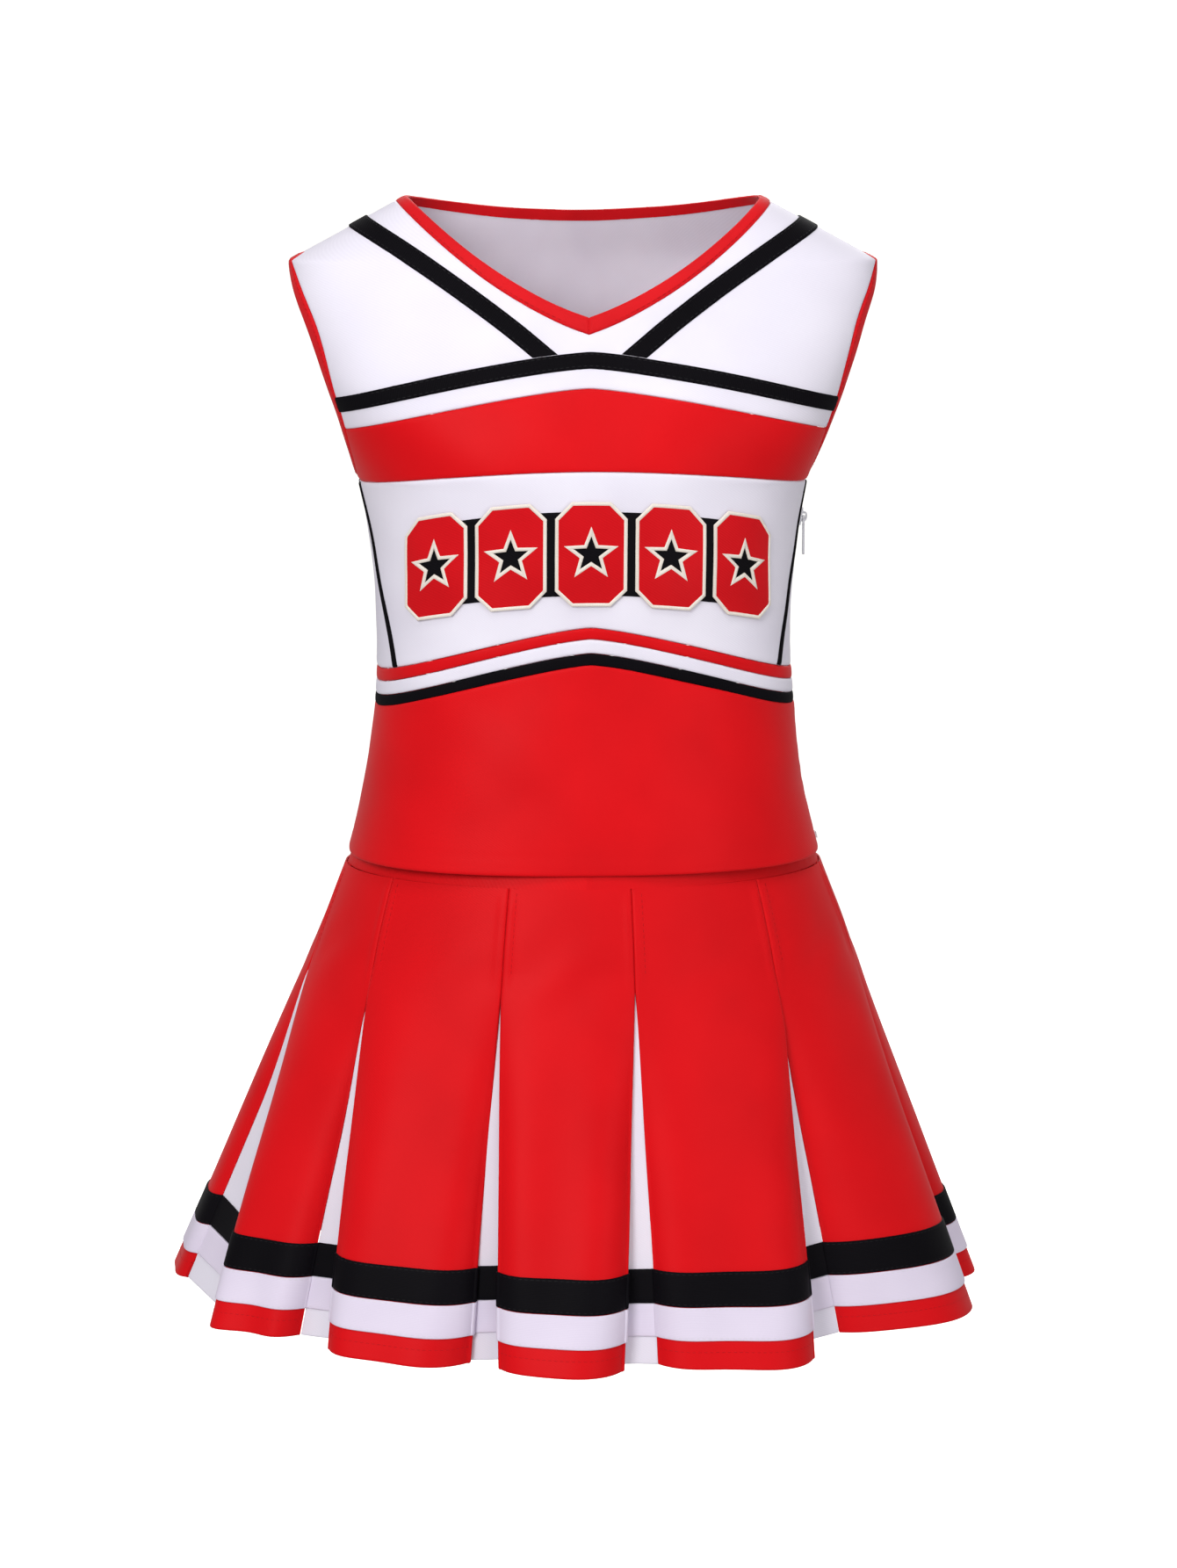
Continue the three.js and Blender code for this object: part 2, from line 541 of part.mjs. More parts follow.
// The pull hangs plumb from the lug: a tapered tab whose top bar passes through the arch.
// Its origin is the middle of the bar.
function pullGeometry() {
  const w = PULL.width / 2;
  const top = PULL.bar / 2;
  const tab = new THREE.Shape();
  tab.moveTo(-w, top);
  tab.lineTo(-w * 0.8, top - PULL.length * 0.45);
  tab.lineTo(-w, top - PULL.length + 3);
  tab.quadraticCurveTo(-w, top - PULL.length, 0, top - PULL.length);
  tab.quadraticCurveTo(w, top - PULL.length, w, top - PULL.length + 3);
  tab.lineTo(w * 0.8, top - PULL.length * 0.45);
  tab.lineTo(w, top);
  const eye = new THREE.Path();
  const eyeHalf = LUG.width / 2 + 0.35;
  const eyeTop = -PULL.bar / 2;
  eye.moveTo(-eyeHalf, eyeTop);
  eye.lineTo(-eyeHalf, eyeTop - 4.6);
  eye.lineTo(eyeHalf, eyeTop - 4.6);
  eye.lineTo(eyeHalf, eyeTop);
  tab.holes.push(eye);
  return plate(tab, -PULL.plate / 2, PULL.plate);
}

addPiece('zip_slider', sliderSolid(), ZIP_METAL, sliderFrame);
const pull = addPiece('zip_pull', pullGeometry(), ZIP_METAL);
pull.position.copy(new THREE.Vector3(BAR_AXIS, 0, 0).applyEuler(sliderFrame.rotation).add(sliderFrame.position));

// ---------------------------------------------------------------- skirt waistband

// A point on an ellipse of half-width a and half-depth b, moved outwards and along it.
function ellipsePoint(a, b, t, z, outwards, along = 0) {
  const normal = new THREE.Vector2(Math.sin(t) / a, -Math.cos(t) / b).normalize();
  return new THREE.Vector3(
    a * Math.sin(t) + normal.x * outwards - normal.y * along,
    -b * Math.cos(t) + normal.y * outwards + normal.x * along, z);
}

const WALL = 1.2;
const ELASTIC_THICK = 1.5;
const CHANNEL = 2 * WALL + 2 * GAP + ELASTIC_THICK;
const BAND_TOP_SIZE = { width: 134.5, depth: 101.5 };
const BAND_SPREAD = { width: 0.32, depth: 0.2 };   // growth for each millimetre of drop

function waistRing(profile) {
  const ring = ([outwards, z]) => Array.from({ length: COLUMNS }, (_, i) => ellipsePoint(
    BAND_TOP_SIZE.width - BAND_SPREAD.width * z, BAND_TOP_SIZE.depth - BAND_SPREAD.depth * z,
    (i / COLUMNS) * 2 * Math.PI, z, outwards));
  return profile.map(ring);
}

// The waistband is folded over at the top and open below, where the skirt is sewn in.
addPiece('waistband', sheetGeometry(
  waistRing([[0, WAISTBAND_LOW], [0, 0], [-CHANNEL, 0], [-CHANNEL, WAISTBAND_LOW + 2]]),
  waistRing([[-WALL, WAISTBAND_LOW], [-WALL, -WALL], [-CHANNEL + WALL, -WALL],
    [-CHANNEL + WALL, WAISTBAND_LOW + 2]]), true), RED);
addPiece('waist_elastic', sheetGeometry(
  waistRing([[-WALL - GAP, WAISTBAND_LOW + 3], [-WALL - GAP, -WALL - GAP]]),
  waistRing([[-WALL - GAP - ELASTIC_THICK, WAISTBAND_LOW + 3], [-WALL - GAP - ELASTIC_THICK, -WALL - GAP]]),
  true), ELASTIC);

// ---------------------------------------------------------------- pleats

// A point on the flared skirt: t round the body, and a distance down the cloth. Where the skirt flares
// more, the same length of cloth drops less, so the hem rises towards the sides. low lets it hang lower.
function skirtPoint(t, down, outwards, along, low) {
  const flare = Math.hypot(FLARE_SIDE * Math.sin(t), FLARE_FRONT * Math.cos(t));
  const drop = down / Math.hypot(1, flare);
  return ellipsePoint(146 + FLARE_SIDE * drop, 108 + FLARE_FRONT * drop, t,
    WAISTBAND_LOW - drop - low * opening(down), outwards, along);
}

const PLEATS = SEAMS.length;
const seam = (i) => SEAMS[i % PLEATS];
const opening = (down) => THREE.MathUtils.clamp((down - RELEASE) / (SKIRT_LENGTH - RELEASE), 0, 1);

function seamAngle(i, down) {
  const degrees = THREE.MathUtils.lerp(seam(i).waist, seam(i).hem, down / SKIRT_LENGTH);
  return THREE.MathUtils.degToRad(degrees + 360 * Math.floor(i / PLEATS));
}

const halfOpening = (i, down) => THREE.MathUtils.lerp(GAP / 2, seam(i).half, opening(down));
const INSERT_BEHIND = 8;         // at the hem, behind the deeper of the two panel edges
const STITCHED_BEHIND = 2.2;
const RETURN_CLEAR = 0.9;        // from the end of a panel's return to the insert
const insertLevel = (i, down) => -THREE.MathUtils.lerp(
  STITCHED_BEHIND, INSERT_BEHIND - Math.min(seam(i).before, seam(i).after), opening(down));

const FACE_STEPS = 6;
const PANEL_ROWS = [SKIRT_LENGTH, TRIM_HEM, TRIM_TOP, 135, RELEASE, GAP];

// The face of panel i at one distance down: points from its left edge to its right edge, some way off its
// surface and with its edges drawn in.
function faceRow(i, down, outwards, drawnIn) {
  const left = halfOpening(i, down) + drawnIn;
  const right = -halfOpening(i + 1, down) - drawnIn;
  return Array.from({ length: FACE_STEPS + 1 }, (_, step) => {
    const s = step / FACE_STEPS;
    const t = THREE.MathUtils.lerp(seamAngle(i, down), seamAngle(i + 1, down), s);
    const edge = THREE.MathUtils.lerp(seam(i).after, seam(i + 1).before, s);
    const crown = FACE_CROWN * (1 - Math.abs(2 * s - 1) ** CROWN_POWER);
    const low = THREE.MathUtils.lerp(seam(i).lowAfter, seam(i + 1).lowBefore, s);
    return skirtPoint(t, down, outwards + (edge + crown) * opening(down), THREE.MathUtils.lerp(left, right, s),
      low);
  });
}

// A panel's row with the folded returns at both ends, which reach back almost to the inserts.
function panelRow(i, down, outwards, drawnIn) {
  const left = skirtPoint(seamAngle(i, down), down, insertLevel(i, down) + RETURN_CLEAR,
    halfOpening(i, down) + drawnIn, seam(i).lowAfter);
  const right = skirtPoint(seamAngle(i + 1, down), down, insertLevel(i + 1, down) + RETURN_CLEAR,
    -halfOpening(i + 1, down) - drawnIn, seam(i + 1).lowBefore);
  return [left, ...faceRow(i, down, outwards, drawnIn), right];
}

const INSERT_LAP = 4;

function insertRow(i, down, outwards) {
  const reach = halfOpening(i, down) + INSERT_LAP;
  return [-1, -0.33, 0.33, 1].map((s) =>
    skirtPoint(seamAngle(i, down), down, insertLevel(i, down) + outwards, s * reach,
      THREE.MathUtils.lerp(seam(i).lowBefore, seam(i).lowAfter, (s + 1) / 2)));
}

for (let i = 0; i < PLEATS; i++) {
  const number = String(i + 1).padStart(2, '0');
  addPiece(`pleat_panel_${number}`, sheetGeometry(
    PANEL_ROWS.map((down) => panelRow(i, down, 0, 0)),
    PANEL_ROWS.map((down) => panelRow(i, down, -FABRIC, FABRIC)), false), RED);
  addPiece(`pleat_insert_${number}`, sheetGeometry(
    PANEL_ROWS.map((down) => insertRow(i, down, 0)),
    PANEL_ROWS.map((down) => insertRow(i, down, -FABRIC)), false), WHITE);
}

// ---------------------------------------------------------------- hem trims

const TRIM_CLEAR = 0.45;

// One row of a ribbon that runs round every panel and dips over every insert.
function ribbonRow(down, outwards) {
  const row = [];
  for (let i = 0; i < PLEATS; i++) {
    const inset = halfOpening(i, down) - outwards;
    const floor = insertLevel(i, down) + outwards;
    row.push(skirtPoint(seamAngle(i, down), down, floor, -inset, seam(i).lowBefore));
    row.push(skirtPoint(seamAngle(i, down), down, floor, inset, seam(i).lowAfter));
    row.push(...faceRow(i, down, outwards, -outwards));
  }
  return row;
}

for (const [name, low, high, material] of [
  ['trim_white', TRIM_HEM, TRIM_MIDDLE + GAP / 2, WHITE],
  ['trim_black', TRIM_MIDDLE - GAP / 2, TRIM_TOP, BLACK],
]) {
  addPiece(name, sheetGeometry(
    [low, high].map((down) => ribbonRow(down, TRIM_CLEAR + TRIM)),
    [low, high].map((down) => ribbonRow(down, TRIM_CLEAR)), true), material);
}

export default uniform;
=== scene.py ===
"""Looks of a child's cheer uniform: a sleeveless shell top with a side zip, and a box-pleated skirt.

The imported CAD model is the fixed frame. Every shape is worked out in millimetres and turned to metres when
its mesh is made. The driving sizes are the CAD part's, but for a few at the back neck, the piping and two
pleat seams, which differ by some millimetres. The wearer faces -Y and +X is the wearer's left. Angles round
the body start at the centre front and grow towards the wearer's left.
"""

import logging
import math
from dataclasses import dataclass, field
from enum import Enum
from typing import Callable

import bpy
import numpy as np
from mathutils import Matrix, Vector


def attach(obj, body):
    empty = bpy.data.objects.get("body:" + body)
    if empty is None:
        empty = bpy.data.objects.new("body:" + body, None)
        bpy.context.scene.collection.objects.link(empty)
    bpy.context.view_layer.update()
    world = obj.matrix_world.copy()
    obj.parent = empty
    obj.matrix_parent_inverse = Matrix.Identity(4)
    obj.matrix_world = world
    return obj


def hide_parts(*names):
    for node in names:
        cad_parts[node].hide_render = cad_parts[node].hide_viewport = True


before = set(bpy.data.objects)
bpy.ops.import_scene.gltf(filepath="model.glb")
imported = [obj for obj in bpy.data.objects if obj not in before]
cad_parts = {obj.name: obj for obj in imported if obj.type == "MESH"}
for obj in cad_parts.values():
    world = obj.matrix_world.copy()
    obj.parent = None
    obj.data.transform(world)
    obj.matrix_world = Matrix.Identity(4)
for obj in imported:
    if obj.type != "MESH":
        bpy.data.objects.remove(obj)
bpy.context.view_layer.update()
LOG = logging.getLogger("cheer_uniform")

MM = 0.001  # metres in a millimetre
CLOTH_HALF = 0.6  # half the thickness of sewn cloth with its lining
HALF_GAP = 0.15  # clearance to a seam's middle
Curve = Callable[[np.ndarray], np.ndarray]
Distance = Callable[[np.ndarray], np.ndarray]


# ---------------------------------------------------------------- small helpers


def linear(colour: str) -> tuple[float, float, float, float]:
    """Turns an sRGB hex colour to linear light.

    Args:
        colour: six hex digits, with or without a leading #.

    Returns:
        Linear red, green, blue and an alpha of 1.
    """
    digits = colour.lstrip("#")
    parts = [int(digits[i : i + 2], 16) / 255 for i in (0, 2, 4)]
    light = [c / 12.92 if c <= 0.04045 else ((c + 0.055) / 1.055) ** 2.4 for c in parts]
    return (light[0], light[1], light[2], 1.0)


def smoothstep(value: np.ndarray, low: float, high: float) -> np.ndarray:
    """Eases from 0 at low to 1 at high."""
    t = np.clip((value - low) / (high - low), 0, 1)
    return t * t * (3 - 2 * t)


def dome(value: np.ndarray) -> np.ndarray:
    """A quarter circle: 0 at 0, rising steeply, and 1 from 1 on."""
    return np.sqrt(1 - (1 - np.clip(value, 0, 1)) ** 2)


def unit(vectors: np.ndarray) -> np.ndarray:
    """The same directions with a length of 1."""
    return vectors / np.maximum(np.linalg.norm(vectors, axis=-1, keepdims=True), 1e-9)


def smooth_curve(pairs: list[tuple[float, float]]) -> Curve:
    """Makes a smooth curve whose slope at each place is the mean of its neighbours'.

    Args:
        pairs: (position, value) in order of position.

    Returns:
        A function from positions to values.
    """
    xs, ys = np.array(pairs, float).T
    steps = np.diff(ys) / np.diff(xs)
    slopes = np.concatenate([steps[:1], (steps[1:] + steps[:-1]) / 2, steps[-1:]])

    def evaluate(x: np.ndarray) -> np.ndarray:
        """The curve's values at x."""
        x = np.clip(x, xs[0], xs[-1])
        i = np.clip(np.searchsorted(xs, x, side="right") - 1, 0, len(xs) - 2)
        h = xs[i + 1] - xs[i]
        p = (x - xs[i]) / h
        value = (2 * p**3 - 3 * p**2 + 1) * ys[i] + (3 * p**2 - 2 * p**3) * ys[i + 1]
        return value + (p**3 - 2 * p**2 + p) * h * slopes[i] + (p**3 - p**2) * h * slopes[i + 1]

    return evaluate


# ---------------------------------------------------------------- finishes


class Weave(Enum):
    """How a cloth's threads lie."""

    TWILL = "diagonal ribs"
    GROSGRAIN = "ribs across the length"
    SATIN = "threads along the length"
    JERSEY = "fine upright wales"


def add_node(tree: bpy.types.NodeTree, kind: str, values: dict | None = None, links: dict | None = None,
             **settings: object) -> bpy.types.Node:
    """Adds a node with its settings, socket values and links.

    Args:
        tree: the node tree that gets the node.
        kind: the node's type name.
        values: default values by input socket name or number.
        links: output sockets by the input socket they feed.
        settings: attributes of the node itself.

    Returns:
        The new node.
    """
    node = tree.nodes.new(kind)
    for name, setting in settings.items():
        setattr(node, name, setting)
    for socket, value in (values or {}).items():
        node.inputs[socket].default_value = value
    for socket, source in (links or {}).items():
        tree.links.new(source, node.inputs[socket])
    return node


@dataclass(frozen=True)
class Cloth:
    """Woven or knitted polyester, dyed in the piece."""

    name: str
    colour: str
    shade: str
    weave: Weave = Weave.TWILL
    thread: float = 1.2  # mm from rib to rib
    roughness: float = 0.5
    sheen: float = 0.04
    relief: float = 0.05  # mm
    # The next setting sets how much painted shade darkens the hollows between threads in the base colour
    hollow_shade: float = 0.12  # how dark the hollows between threads are
    gloss: float = 0.08

    def material(self) -> bpy.types.Material:
        """Builds the material once, and returns it.

        Returns:
            The material of this cloth.
        """
        if self.name in bpy.data.materials:
            return bpy.data.materials[self.name]
        material = bpy.data.materials.new(self.name)
        material.use_nodes = True
        tree = material.node_tree
        tree.nodes.clear()
        cloth = add_node(tree, "ShaderNodeUVMap", uv_map="cloth")
        turn = math.radians(-62) if self.weave is Weave.TWILL else 0.0
        laid = add_node(
            tree, "ShaderNodeMapping", {"Rotation": (0, 0, turn)}, {"Vector": cloth.outputs["UV"]}
        )
        across = self.weave in (Weave.GROSGRAIN, Weave.TWILL)
        ribs = add_node(
            tree, "ShaderNodeTexWave", {"Scale": math.tau / 20 / (self.thread * MM), "Distortion": 0.0},
            {"Vector": laid.outputs["Vector"]}, bands_direction="X" if across or self.weave is Weave.JERSEY
            else "Y",
        )
        # Yarns vary in thickness, which breaks up the ribs.
        yarn = add_node(
            tree, "ShaderNodeTexNoise", {"Scale": 0.55 / (self.thread * MM), "Detail": 3.0, "Roughness": 0.6},
            {"Vector": laid.outputs["Vector"]},
        )
        height = add_node(
            tree, "ShaderNodeMix", {"Factor": 0.4},
            {"A": ribs.outputs["Fac"], "B": yarn.outputs["Fac"]},
        )
        # Dye takes a little unevenly over a hand's breadth.
        dye = add_node(
            tree, "ShaderNodeTexNoise", {"Scale": 14.0, "Detail": 2.0}, {"Vector": cloth.outputs["UV"]}
        )
        patchy = add_node(
            tree, "ShaderNodeMapRange", {"From Min": 0.3, "From Max": 0.7, "To Min": 0.0, "To Max": 0.35},
            {"Value": dye.outputs["Fac"]},
        )
        # Painted shade: the hollows between the ribs are darkened in the base colour, following the rib
        # height map
        painted_shade_in_hollows = add_node(
            tree, "ShaderNodeMapRange", {"From Min": 0.0, "From Max": 1.0, "To Min": self.hollow_shade,
                                         "To Max": 0.0}, {"Value": height.outputs["Result"]},
        )
        # The dye's real patches plus the painted shade of the hollows
        dye_patches_and_painted_shade = add_node(
            tree, "ShaderNodeMath", {}, {0: patchy.outputs["Result"], 1: painted_shade_in_hollows.outputs["Result"]},
            operation="ADD", use_clamp=True,
        )
        colour = add_node(
            tree, "ShaderNodeMix", {"A": linear(self.colour), "B": linear(self.shade)},
            {"Factor": dye_patches_and_painted_shade.outputs[0]}, data_type="RGBA",
        )
        rough = add_node(
            tree, "ShaderNodeMapRange", {"To Min": self.roughness + 0.06, "To Max": self.roughness - 0.06},
            {"Value": height.outputs["Result"]},
        )
        bump = add_node(
            tree, "ShaderNodeBump", {"Strength": 0.6, "Distance": self.relief * MM},
            {"Height": height.outputs["Result"]},
        )
        shader = add_node(
            tree, "ShaderNodeBsdfPrincipled",
            {"Specular IOR Level": self.gloss, "Sheen Weight": self.sheen, "Sheen Roughness": 0.4,
             "IOR": 1.53},
            {"Base Color": colour.outputs["Result"], "Roughness": rough.outputs["Result"],
             "Normal": bump.outputs["Normal"]},
        )
        add_node(tree, "ShaderNodeOutputMaterial", {}, {"Surface": shader.outputs["BSDF"]})
        return material


@dataclass(frozen=True)
class Enamel:
    """Zinc, die-cast and sprayed with a baked enamel to match the cloth."""

    name: str
    colour: str
    worn: str
    roughness: float = 0.28

    def material(self) -> bpy.types.Material:
        """Builds the material once, and returns it.

        Returns:
            The material of this enamel.
        """
        if self.name in bpy.data.materials:
            return bpy.data.materials[self.name]
        material = bpy.data.materials.new(self.name)
        material.use_nodes = True
        tree = material.node_tree
        tree.nodes.clear()
        place = add_node(tree, "ShaderNodeTexCoord")
        # The spray dries with a faint orange peel, about half a millimetre from crest to crest.
        peel = add_node(
            tree, "ShaderNodeTexNoise", {"Scale": 1 / (0.5 * MM), "Detail": 2.0},
            {"Vector": place.outputs["Object"]},
        )
        # Handling rubs the enamel thin in places a couple of millimetres across.
        rub = add_node(
            tree, "ShaderNodeTexNoise", {"Scale": 1 / (2.5 * MM), "Detail": 4.0, "Roughness": 0.7},
            {"Vector": place.outputs["Object"]},
        )
        share = add_node(
            tree, "ShaderNodeMapRange", {"From Min": 0.55, "From Max": 0.75, "To Max": 0.5},
            {"Value": rub.outputs["Fac"]},
        )
        colour = add_node(
            tree, "ShaderNodeMix", {"A": linear(self.colour), "B": linear(self.worn)},
            {"Factor": share.outputs["Result"]}, data_type="RGBA",
        )
        rough = add_node(
            tree, "ShaderNodeMapRange", {"To Min": self.roughness, "To Max": self.roughness + 0.18},
            {"Value": rub.outputs["Fac"]},
        )
        bump = add_node(
            tree, "ShaderNodeBump", {"Strength": 0.25, "Distance": 0.03 * MM},
            {"Height": peel.outputs["Fac"]},
        )
        shader = add_node(
            tree, "ShaderNodeBsdfPrincipled", {"Coat Weight": 0.4, "Coat Roughness": 0.12},
            {"Base Color": colour.outputs["Result"], "Roughness": rough.outputs["Result"],
             "Normal": bump.outputs["Normal"]},
        )
        add_node(tree, "ShaderNodeOutputMaterial", {}, {"Surface": shader.outputs["BSDF"]})
        return material


# Polyester gabardine: long floats of filament on the face give it a soft satin light. Its ribs are
# 0.5 mm apart, and are drawn at 1.2 mm so that they show.
RED_TWILL = Cloth("polyester_gabardine_red", "#da0b14", "#b8040c")
WHITE_TWILL = Cloth("polyester_gabardine_white", "#eae6f1", "#d3cddd", hollow_shade=0.2)
# Single jersey cut on the bias and folded: duller than the gabardine, with fine wales along it.
RED_BINDING = Cloth("polyester_jersey_binding_red", "#d8161e", "#b40d14", Weave.JERSEY, 0.9, 0.6, 0.06, 0.06)
# Grosgrain braid: thick weft ribs cross it, 1 mm apart, and keep it matt.
BLACK_BRAID = Cloth("grosgrain_braid_black", "#0f0d12", "#060507", Weave.GROSGRAIN, 1.1, 0.7, 0.0, 0.1, 0.5,
                    0.04)
# Satin ribbon: threads run along it unbroken, so light draws out along its length.
WHITE_RIBBON = Cloth("satin_ribbon_white", "#e6ddee", "#cbbfd6", Weave.SATIN, 0.8, 0.4, 0.03, 0.04, 0.2)
BLACK_RIBBON = Cloth("satin_ribbon_black", "#0f0d12", "#060507", Weave.SATIN, 0.8, 0.55, 0.0, 0.05, 0.5, 0.04)
# Tackle twill: a stiff backed patch cloth, a little glossier than the garment.
RED_PATCH = Cloth("tackle_twill_red", "#d4101a", "#ad060e", Weave.TWILL, 1.4, 0.42, 0.03, 0.08, 0.25)
BLACK_PATCH = Cloth("tackle_twill_black", "#100e13", "#060507", Weave.TWILL, 1.4, 0.6, 0.0, 0.08, 0.5, 0.05)
# Rayon embroidery thread in satin stitch: close-laid threads across the strip, bright along the crown.
CREAM_STITCH = Cloth("rayon_satin_stitch_cream", "#f4ece4", "#d2c6b8", Weave.GROSGRAIN, 0.8, 0.35, 0.1, 0.14,
                     0.55)
# Spun sewing thread, in the colours of what it sews.
RED_THREAD = Cloth("spun_thread_red", "#c71219", "#8e090f", Weave.SATIN, 0.5, 0.6, 0.05, 0.05, 0.5)
WHITE_THREAD = Cloth("spun_thread_white", "#e6e2ea", "#bdb8c6", Weave.SATIN, 0.5, 0.6, 0.05, 0.05, 0.5)
BLACK_THREAD = Cloth("spun_thread_black", "#141217", "#08070a", Weave.SATIN, 0.5, 0.6, 0.02, 0.05, 0.5, 0.2)
# Covered rubber elastic: thick ribs along the waist, chalky.
ELASTIC_WEB = Cloth("covered_elastic_white", "#e3dfd9", "#b9b3aa", Weave.SATIN, 2.0, 0.75, 0.3, 0.3, 0.5)
# Knitted zip tape and nylon filament coil: flat white, the coil glossier.
ZIP_KNIT = Cloth("knitted_zip_tape_white", "#eceaf0", "#cfccd6", Weave.JERSEY, 1.0, 0.6, 0.1, 0.08, 0.35)
NYLON_COIL = Cloth("nylon_coil_white", "#f1f0f4", "#d5d3da", Weave.SATIN, 0.6, 0.3, 0.0, 0.02, 0.1)
# Enamelled zinc: smooth and hard beside the cloth, with grey metal where hands rub it.
ZIP_ENAMEL = Enamel("enamelled_zinc_white", "#e9e9ee", "#a9a9b0")


# ---------------------------------------------------------------- meshes


@dataclass
class Sheet:
    """Vertices in millimetres, faces, and each vertex's place on the flat cloth in millimetres."""

    points: np.ndarray
    faces: list[list[int]]
    flat: np.ndarray

    def joined(self, *others: "Sheet") -> "Sheet":
        """Puts several sheets into one mesh.

        Args:
            others: the sheets to add after this one.

        Returns:
            One sheet with all the faces.
        """
        sheets = [self, *others]
        starts = np.cumsum([0] + [len(s.points) for s in sheets])
        faces = [[v + start for v in face] for s, start in zip(sheets, starts) for face in s.faces]
        return Sheet(np.vstack([s.points for s in sheets]), faces, np.vstack([s.flat for s in sheets]))

    def build(self, name: str, finish: Cloth | Enamel, sharp: float = 50) -> bpy.types.Object:
        """Makes the Blender object.

        Args:
            name: the piece's name.
            finish: what it is made of.
            sharp: edges folded more than this, in degrees, stay crisp.

        Returns:
            The new object, in the scene.
        """
        mesh = bpy.data.meshes.new(name)
        mesh.from_pydata((self.points * MM).tolist(), [], self.faces)
        corners = np.zeros(len(mesh.loops), int)
        mesh.loops.foreach_get("vertex_index", corners)
        layer = mesh.uv_layers.new(name="cloth")
        layer.data.foreach_set("uv", (self.flat[corners] * MM).astype(np.float32).ravel())
        mesh.materials.append(finish.material())
        mesh.polygons.foreach_set("use_smooth", np.ones(len(mesh.polygons), bool))
        mesh.set_sharp_from_angle(angle=math.radians(sharp))
        piece = bpy.data.objects.new(name, mesh)
        bpy.context.scene.collection.objects.link(piece)
        return piece


def thick(points: np.ndarray, normals: np.ndarray, faces: list[list[int]], outer: np.ndarray,
          inner: np.ndarray, flat: np.ndarray) -> Sheet:
    """Gives a surface thickness, with a rim round its border.

    Args:
        points: the surface's vertices.
        normals: the outward direction at each.
        faces: anticlockwise seen from outside.
        outer: how far outside the surface the outer layer lies, at each vertex.
        inner: the same for the inner layer, negative inwards.
        flat: place on the flat cloth.

    Returns:
        A closed sheet.
    """
    count = len(points)
    starts = np.concatenate([np.array(face) for face in faces])
    ends = np.concatenate([np.array(face[1:] + face[:1]) for face in faces])
    border = ~np.isin(starts * count + ends, ends * count + starts)
    rim = [[b, a, a + count, b + count] for a, b in zip(starts[border].tolist(), ends[border].tolist())]
    back = [[v + count for v in reversed(face)] for face in faces]
    both = np.vstack([points + normals * outer[:, None], points + normals * inner[:, None]])
    return Sheet(both, faces + back + rim, np.vstack([flat, flat]))


def grid_faces(rows: int, columns: int, closed: bool = False) -> list[list[int]]:
    """Quads of a grid whose rows run from high to low and whose columns run anticlockwise from above.

    Args:
        rows: number of rows.
        columns: number of vertices in a row.
        closed: whether the last column joins the first.

    Returns:
        Faces that look outwards.
    """
    r, c = np.meshgrid(np.arange(rows - 1), np.arange(columns if closed else columns - 1), indexing="ij")
    after = (c + 1) % columns
    quads = np.stack([(r + 1) * columns + c, (r + 1) * columns + after, r * columns + after,
                      r * columns + c], -1)
    return quads.reshape(-1, 4).tolist()


def grid_normals(grid: np.ndarray, closed: bool = False) -> np.ndarray:
    """Outward directions of a grid of points laid out as for grid_faces.

    Args:
        grid: points by row and column.
        closed: whether the last column joins the first.

    Returns:
        A unit vector for each point.
    """
    if closed:
        around = np.roll(grid, -1, axis=1) - np.roll(grid, 1, axis=1)
    else:
        around = np.gradient(grid, axis=1)
    return unit(np.cross(around, -np.gradient(grid, axis=0)))


def grid_sheet(grid: np.ndarray, outer: np.ndarray | float, inner: np.ndarray | float,
               down: np.ndarray, closed: bool = False) -> Sheet:
    """Makes a closed thick sheet from a grid of points.

    Args:
        grid: points by row and column, from high to low and anticlockwise.
        outer: offset of the outer layer, one value or one for each point.
        inner: offset of the inner layer.
        down: how far down the flat cloth each row lies.
        closed: whether the sheet is a ring.

    Returns:
        The sheet, flat across by arc length and down by the given distances.
    """
    rows, columns = grid.shape[:2]
    steps = np.linalg.norm(np.diff(grid, axis=1), axis=2)
    across = np.concatenate([np.zeros((rows, 1)), np.cumsum(steps, axis=1)], axis=1)
    across -= across[:, columns // 2, None]
    flat = np.stack([across, np.broadcast_to(-down[:, None], across.shape)], -1).reshape(-1, 2)
    layers = [np.broadcast_to(np.asarray(a, float), (rows, columns)).reshape(-1) for a in (outer, inner)]
    return thick(grid.reshape(-1, 3), grid_normals(grid, closed).reshape(-1, 3),
                 grid_faces(rows, columns, closed), *layers, flat)


